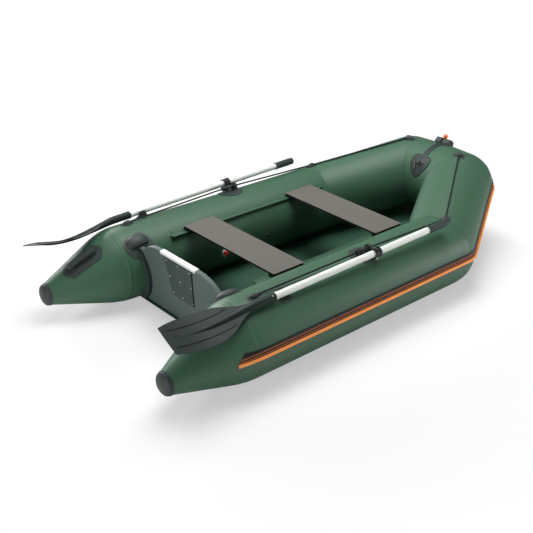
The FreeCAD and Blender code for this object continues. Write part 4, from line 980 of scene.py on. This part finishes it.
@dataclass
class BowFittings(SubAssembly):
    """Shield-shaped cover of the tow ring's patch, with its raised rims."""

    patch_angle: float = -56.0
    half_length: float = 0.076
    half_width: float = 0.071
    cover_lift: float = 0.0040
    cover_shares: Row = (0.04, 0.2, 0.36, 0.52, 0.68, 0.82, 0.93, 1.0)
    around: int = 96
    outline: tuple[Pair, ...] = (
        (0.92, 0.0), (0.99, 0.50), (0.84, 0.88), (0.42, 1.0), (-0.12, 0.86), (-0.58, 0.55), (-0.90, 0.24),
        (-1.0, 0.0))
    rims: tuple[Pair, ...] = ((0.95, 0.0013), (0.68, 0.0009))
    rim_lift: float = 0.0004

    def shield(self) -> Array:
        """Closed smooth outline through the points and their mirror images, as shares of the half sizes.

        Each stretch is the cubic whose slope at a point is half the step between that point's neighbours.

        Returns:
            Array of shape (around, 2).
        """
        half = np.array(self.outline)
        points = np.concatenate([half, half[-2:0:-1] * (1.0, -1.0)])
        count = len(points)
        place = np.linspace(0.0, count, self.around, endpoint=False)
        k = place.astype(int)
        t = (place - k)[:, None]
        before, first, last, after = (points[(k + step) % count] for step in (-1, 0, 1, 2))
        start, end = (last - before) / 2.0, (after - first) / 2.0
        return (first * (2.0 * t ** 3 - 3.0 * t ** 2 + 1.0) + start * (t ** 3 - 2.0 * t ** 2 + t)
                + last * (3.0 * t ** 2 - 2.0 * t ** 3) + end * (t ** 3 - t ** 2))

    def lifted(self, share: float, lift: float) -> Array:
        """Points over the bow tube at a share of the outline.

        The outline's first number is an arc round the tube and its second a distance across the boat.

        Args:
            share: 0 at the middle and 1 at the edge.
            lift: height over the skin.

        Returns:
            Array of shape (around, 3).
        """
        edge = self.shield() * share
        angle = self.patch_angle + np.degrees(edge[:, 0] * self.half_length / self.hull.radius)
        return self.hull.bow_skin(edge[:, 1] * self.half_width, angle, lift)

    def build(self) -> None:
        """Make the cover and the rims."""
        rows = [self.lifted(share, self.cover_lift) for share in self.cover_shares]
        rows += [self.lifted(share, -BURIED) for share in self.cover_shares[::-1]]
        faces = capped_faces(len(rows), self.around)
        self.add(mesh_piece("tow_patch_cover", np.concatenate(rows), faces), "grey_pvc")
        for number, (share, radius) in enumerate(self.rims):
            path = self.lifted(share, self.cover_lift + self.rim_lift)
            self.add(bars(f"tow_patch_rim_{number}", [path], radius, closed=True), "grey_pvc")


@dataclass
class RailWelts(SubAssembly):
    """Black strips under the beads of the bench rails, which paint the shadow that the beads cast on the
    tubes.
    """

    bead_y: float = 0.3581
    bead_z: float = 0.3685
    bead_radius: float = 0.0060
    ends: Pair = (-0.655, 0.486)
    radius: float = 0.0024
    points: int = 24

    def build(self) -> None:
        """Make both strips of painted shadow."""
        x = np.linspace(*self.ends, self.points)
        y, z = self.bead_y - self.radius, self.bead_z - self.bead_radius
        path = np.stack(np.broadcast_arrays(x, y, z), axis=-1)
        # Painted shadow: a thin black bar sits in the shade under each bead, where the real rail has only
        # shadow.
        self.add_pair("rail_welt_{}", [path], self.radius, "rope_black")


@dataclass
class OarTrim(SubAssembly):
    """Flutes of collar and grip, the collar's bolt, and the button and rings of the blade's socket."""

    oarlock_x: float = -0.064
    oarlock_angle: float = 25.6
    height: float = 0.0506
    pitch: float = math.radians(1.42)
    yaw: float = math.radians(0.39)
    collar_radius: float = 0.0236
    collar_half: float = 0.0135
    collar_arc: Pair = (-130.0, 130.0)
    collar_flutes: int = 13
    collar_flute_radius: float = 0.0019
    grip_radius: float = 0.0205
    grip_ends: Pair = (0.412, 0.540)
    grip_flutes: int = 14
    grip_flute_radius: float = 0.0011
    flute_profile: Row = (0.5, 0.9, 1.0, 1.0, 1.0, 0.9, 0.5)
    bolt_ends: tuple[Point, Point] = ((-0.004, 0.0195, -0.0205), (-0.004, 0.0285, -0.0215))
    bolt_radius: float = 0.0042
    button_ends: tuple[Point, Point] = ((-0.722, 0.005, 0.0195), (-0.722, 0.006, 0.0232))
    button_radius: float = 0.0035
    stud_profile: Row = (1.0, 1.0, 0.9, 0.5)
    stud_sides: int = 10
    ring_places: Row = (-0.704, -0.716)
    ring_reach: float = 0.0216
    ring_radius: float = 0.0016
    ring_points: int = 32

    def frame(self) -> Frame:
        """Frame of the port oar at its collar: along the oar, outboard, outward.

        The frame on the tube's skin is pitched about its outboard axis and then yawed about its outward one.

        Returns:
            The frame.
        """
        skin = self.hull.frame(self.oarlock_x, self.oarlock_angle, self.height)
        up = np.array((0.0, 0.0, 1.0))
        ahead = np.array((math.cos(self.yaw), math.sin(self.yaw), 0.0))
        aim = np.stack((ahead * math.cos(self.pitch) + up * math.sin(self.pitch), np.cross(up, ahead),
                        up * math.cos(self.pitch) - ahead * math.sin(self.pitch)))
        return Frame(skin.base, aim @ skin.axes)

    def flutes(self, place: Frame, radius: float, ends: Pair, count: int,
               arc: Pair = (0.0, 360.0)) -> list[Array]:
        """Straight lines along the oar, spread over an arc round it.

        Args:
            place: the oar's frame.
            radius: distance from the oar's axis.
            ends: first and last place along the oar.
            count: number of lines.
            arc: first and last angle in degrees from outward to outboard.

        Returns:
            One path for each line, with a point for each value of the flutes' profile.
        """
        x = np.linspace(*ends, len(self.flute_profile))
        turns = np.radians(np.linspace(*arc, count, endpoint=arc[1] - arc[0] < 360.0))
        return [place.at(x, radius * math.sin(t), radius * math.cos(t)) for t in turns]

    def build(self) -> None:
        """Make the trim of both oars."""
        place, oar = self.frame(), "oar_{}"
        soft = np.array(self.flute_profile)
        collar_ends = (-self.collar_half, self.collar_half)
        collar = self.flutes(place, self.collar_radius, collar_ends, self.collar_flutes, self.collar_arc)
        self.add_pair("collar_flutes_{}", collar, soft * self.collar_flute_radius, "black_plastic", body=oar)
        grip = self.flutes(place, self.grip_radius, self.grip_ends, self.grip_flutes)
        self.add_pair("grip_flutes_{}", grip, soft * self.grip_flute_radius, "grip_grey", body=oar)
        for name, ends, radius in (("collar_bolt_{}", self.bolt_ends, self.bolt_radius),
                                   ("socket_button_{}", self.button_ends, self.button_radius)):
            path = place.line(*ends, len(self.stud_profile))
            reach = np.array(self.stud_profile) * radius
            self.add_pair(name, [path], reach, "screw_bright", self.stud_sides, body=oar)
        angle = np.linspace(0.0, 2.0 * math.pi, self.ring_points, endpoint=False)
        for number, x in enumerate(self.ring_places):
            path = place.at(x, self.ring_reach * np.sin(angle), self.ring_reach * np.cos(angle))
            self.add_pair(f"socket_ring_{{}}_{number}", [path], self.ring_radius, "black_plastic",
                          closed=True, body=oar)


@dataclass
class CarryHandles(SubAssembly):
    """Raised ribs across the grips of the carry handles."""

    x: float = -1.160
    angle: float = -19.0
    reach: float = 0.125
    rise: float = 0.0352
    half_width: float = 0.0135
    ribs: Row = (-0.045, -0.030, -0.015, 0.0, 0.015, 0.030, 0.045)
    rib_radius: float = 0.0014
    rib_profile: Row = (0.6, 1.0, 1.0, 1.0, 0.6)

    def frame(self) -> Frame:
        """Frame on the cone under the port handle."""
        aft, fore = self.hull.skin(np.array((self.x - self.reach, self.x + self.reach)), self.angle)
        along = unit(fore - aft)
        side = unit(np.cross(self.hull.frame(self.x, self.angle).axes[2], along))
        return Frame(self.hull.skin(self.x, self.angle), np.stack((along, side, np.cross(along, side))))

    def build(self) -> None:
        """Make the ribs on both handles."""
        place = self.frame()
        reach = np.array(self.rib_profile) * self.rib_radius
        paths = [place.line((x, -self.half_width, self.rise), (x, self.half_width, self.rise), len(reach))
                 for x in self.ribs]
        self.add_pair("handle_ribs_{}", paths, reach, "grey_pvc")


@dataclass
class ConeCaps(SubAssembly):
    """Rims at the mouths of the caps on the stern cones."""

    place: float = -1.3640
    proud: float = 0.0026
    radius: float = 0.0014
    points: int = 72

    def build(self) -> None:
        """Make the rims."""
        angle = np.linspace(0.0, 360.0, self.points, endpoint=False)
        path = self.hull.skin(self.place, angle, self.proud)
        self.add_pair("cap_rim_{}", [path], self.radius, "dark_grey_plastic", closed=True)


# Studio


@dataclass
class Studio:
    """Floor, lights and camera."""

    floor_colour: Colour = (0.93, 0.93, 0.93)
    floor_roughness: float = 0.9
    floor_specular: float = 0.1
    floor_size: float = 60.0
    shadow_reach: float = 1.45
    shadow_fade: float = 0.70
    shadow_share: float = 0.55
    camera_place: Point = (-3.376, -3.696, 2.646)
    camera_azimuth: float = -40.01
    camera_elevation: float = 26.95
    camera_roll: float = -0.2
    lens: float = 64.15
    sensor_width: float = 36.0
    clip: Pair = (0.05, 200.0)
    lamps: tuple[tuple[str, Point, float, float], ...] = (
        ("key_softbox", (0.4, 0.3, 4.3), 3.2, 215.0),
        ("back_softbox", (-0.3, 4.8, 2.2), 2.8, 210.0),
        ("bow_softbox", (4.4, -3.6, 0.95), 1.7, 95.0),
        ("stern_softbox", (-5.2, -1.4, 0.95), 1.7, 80.0),
    )
    lamp_aim: Point = (0.0, 0.0, 0.2)
    world_strength: float = 0.12

    def build(self) -> None:
        """Make the whole stage."""
        self.make_floor()
        self.make_world()
        for name, place, size, power in self.lamps:
            self.make_lamp(name, place, size, power)
        self.make_camera()
        bpy.context.scene.view_settings.view_transform = "Standard"

    def make_floor(self) -> None:
        """Large level floor that takes the boat's shadow.

        To the camera it shows its own light mixed with white. The white's share is even under the boat and
        rises to one over the fade's width beyond the shadow's reach.
        """
        half = self.floor_size / 2.0
        points = np.array([(-half, -half, 0.0), (half, -half, 0.0), (half, half, 0.0), (-half, half, 0.0)])
        floor = mesh_piece("floor", points, [(0, 1, 2, 3)])
        graph = Graph("floor_white")
        graph.set("Base Color", (*self.floor_colour, 1.0))
        graph.set("Roughness", self.floor_roughness)
        graph.set("Specular IOR Level", self.floor_specular)
        x, y, _ = graph.axes()
        reach = (x * x + y * y) ** 0.5
        seen = graph.node("ShaderNodeLightPath", {}, {}, "Is Camera Ray")
        white = graph.node("ShaderNodeEmission", {}, {"Color": (1.0, 1.0, 1.0, 1.0), "Strength": 1.0})
        lit = Expr(graph, graph.shader.outputs[0])
        far = ((reach - self.shadow_reach) / self.shadow_fade).clamped()
        share = (1.0 - (1.0 - far) * self.shadow_share) * seen
        mixed = graph.node("ShaderNodeMixShader", {}, {0: share, 1: lit, 2: white})
        graph.tree.links.new(mixed.value, graph.output.inputs[0])
        floor.data.materials.append(graph.material)

    def make_world(self) -> None:
        """World that gives an even light and shows white."""
        world = bpy.data.worlds.new("studio")
        world.use_nodes = True
        nodes, links = world.node_tree.nodes, world.node_tree.links
        nodes.clear()
        output, mix, path, soft, white = (nodes.new(f"ShaderNode{kind}") for kind in (
            "OutputWorld", "MixShader", "LightPath", "Background", "Background"))
        soft.inputs["Strength"].default_value = self.world_strength
        white.inputs["Color"].default_value = (1.0, 1.0, 1.0, 1.0)
        links.new(path.outputs["Is Camera Ray"], mix.inputs[0])
        for number, source in enumerate((soft, white), 1):
            links.new(source.outputs[0], mix.inputs[number])
        links.new(mix.outputs[0], output.inputs[0])
        bpy.context.scene.world = world

    def make_lamp(self, name: str, place: Point, size: float, power: float) -> None:
        """Square soft lamp that faces the middle of the boat.

        Args:
            name: name of the lamp.
            place: where it stands.
            size: side of the square.
            power: watts.
        """
        data = bpy.data.lights.new(name, "AREA")
        data.size = size
        data.energy = power
        lamp = bpy.data.objects.new(name, data)
        lamp.location = place
        lamp.rotation_mode = "QUATERNION"
        lamp.rotation_quaternion = (Vector(self.lamp_aim) - Vector(place)).to_track_quat("-Z", "Y")
        bpy.context.scene.collection.objects.link(lamp)

    def make_camera(self) -> None:
        """Camera at the photograph's place and angle."""
        azimuth, elevation = math.radians(self.camera_azimuth), math.radians(self.camera_elevation)
        back = Vector((math.sin(azimuth) * math.cos(elevation), -math.cos(azimuth) * math.cos(elevation),
                       math.sin(elevation)))
        data = bpy.data.cameras.new("camera")
        data.lens = self.lens
        data.sensor_width = self.sensor_width
        data.clip_start, data.clip_end = self.clip
        camera = bpy.data.objects.new("camera", data)
        roll = Matrix.Rotation(math.radians(self.camera_roll), 3, "Z")
        turn = (-back).to_track_quat("-Z", "Y").to_matrix() @ roll
        camera.matrix_world = Matrix.Translation(self.camera_place) @ turn.to_4x4()
        bpy.context.scene.collection.objects.link(camera)
        bpy.context.scene.camera = camera


def report(assembly: SubAssembly) -> None:
    """Log each piece of a sub-assembly with its faces and its material.

    Args:
        assembly: a sub-assembly that has been built.
    """
    for piece in assembly.pieces:
        material = piece.data.materials[0].name
        LOG.info("%s: %d faces, %s", piece.name, len(piece.data.polygons), material)


def main() -> None:
    """Build the whole scene."""
    logging.basicConfig(level=logging.INFO, format="%(name)s %(message)s")
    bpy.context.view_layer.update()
    finishes = Finishes()
    dress = CadDress(finishes)
    dress.build(frame["record"], frame["nodes"])
    report(dress)
    for kind in (GrabLines, StrakeRidges, HullSeams, Transom, BowFittings, RailWelts, OarTrim, CarryHandles,
                 ConeCaps):
        assembly = kind(finishes)
        assembly.build()
        report(assembly)
    Studio().build()
    bpy.context.view_layer.update()


if __name__ == "__main__":
    main()
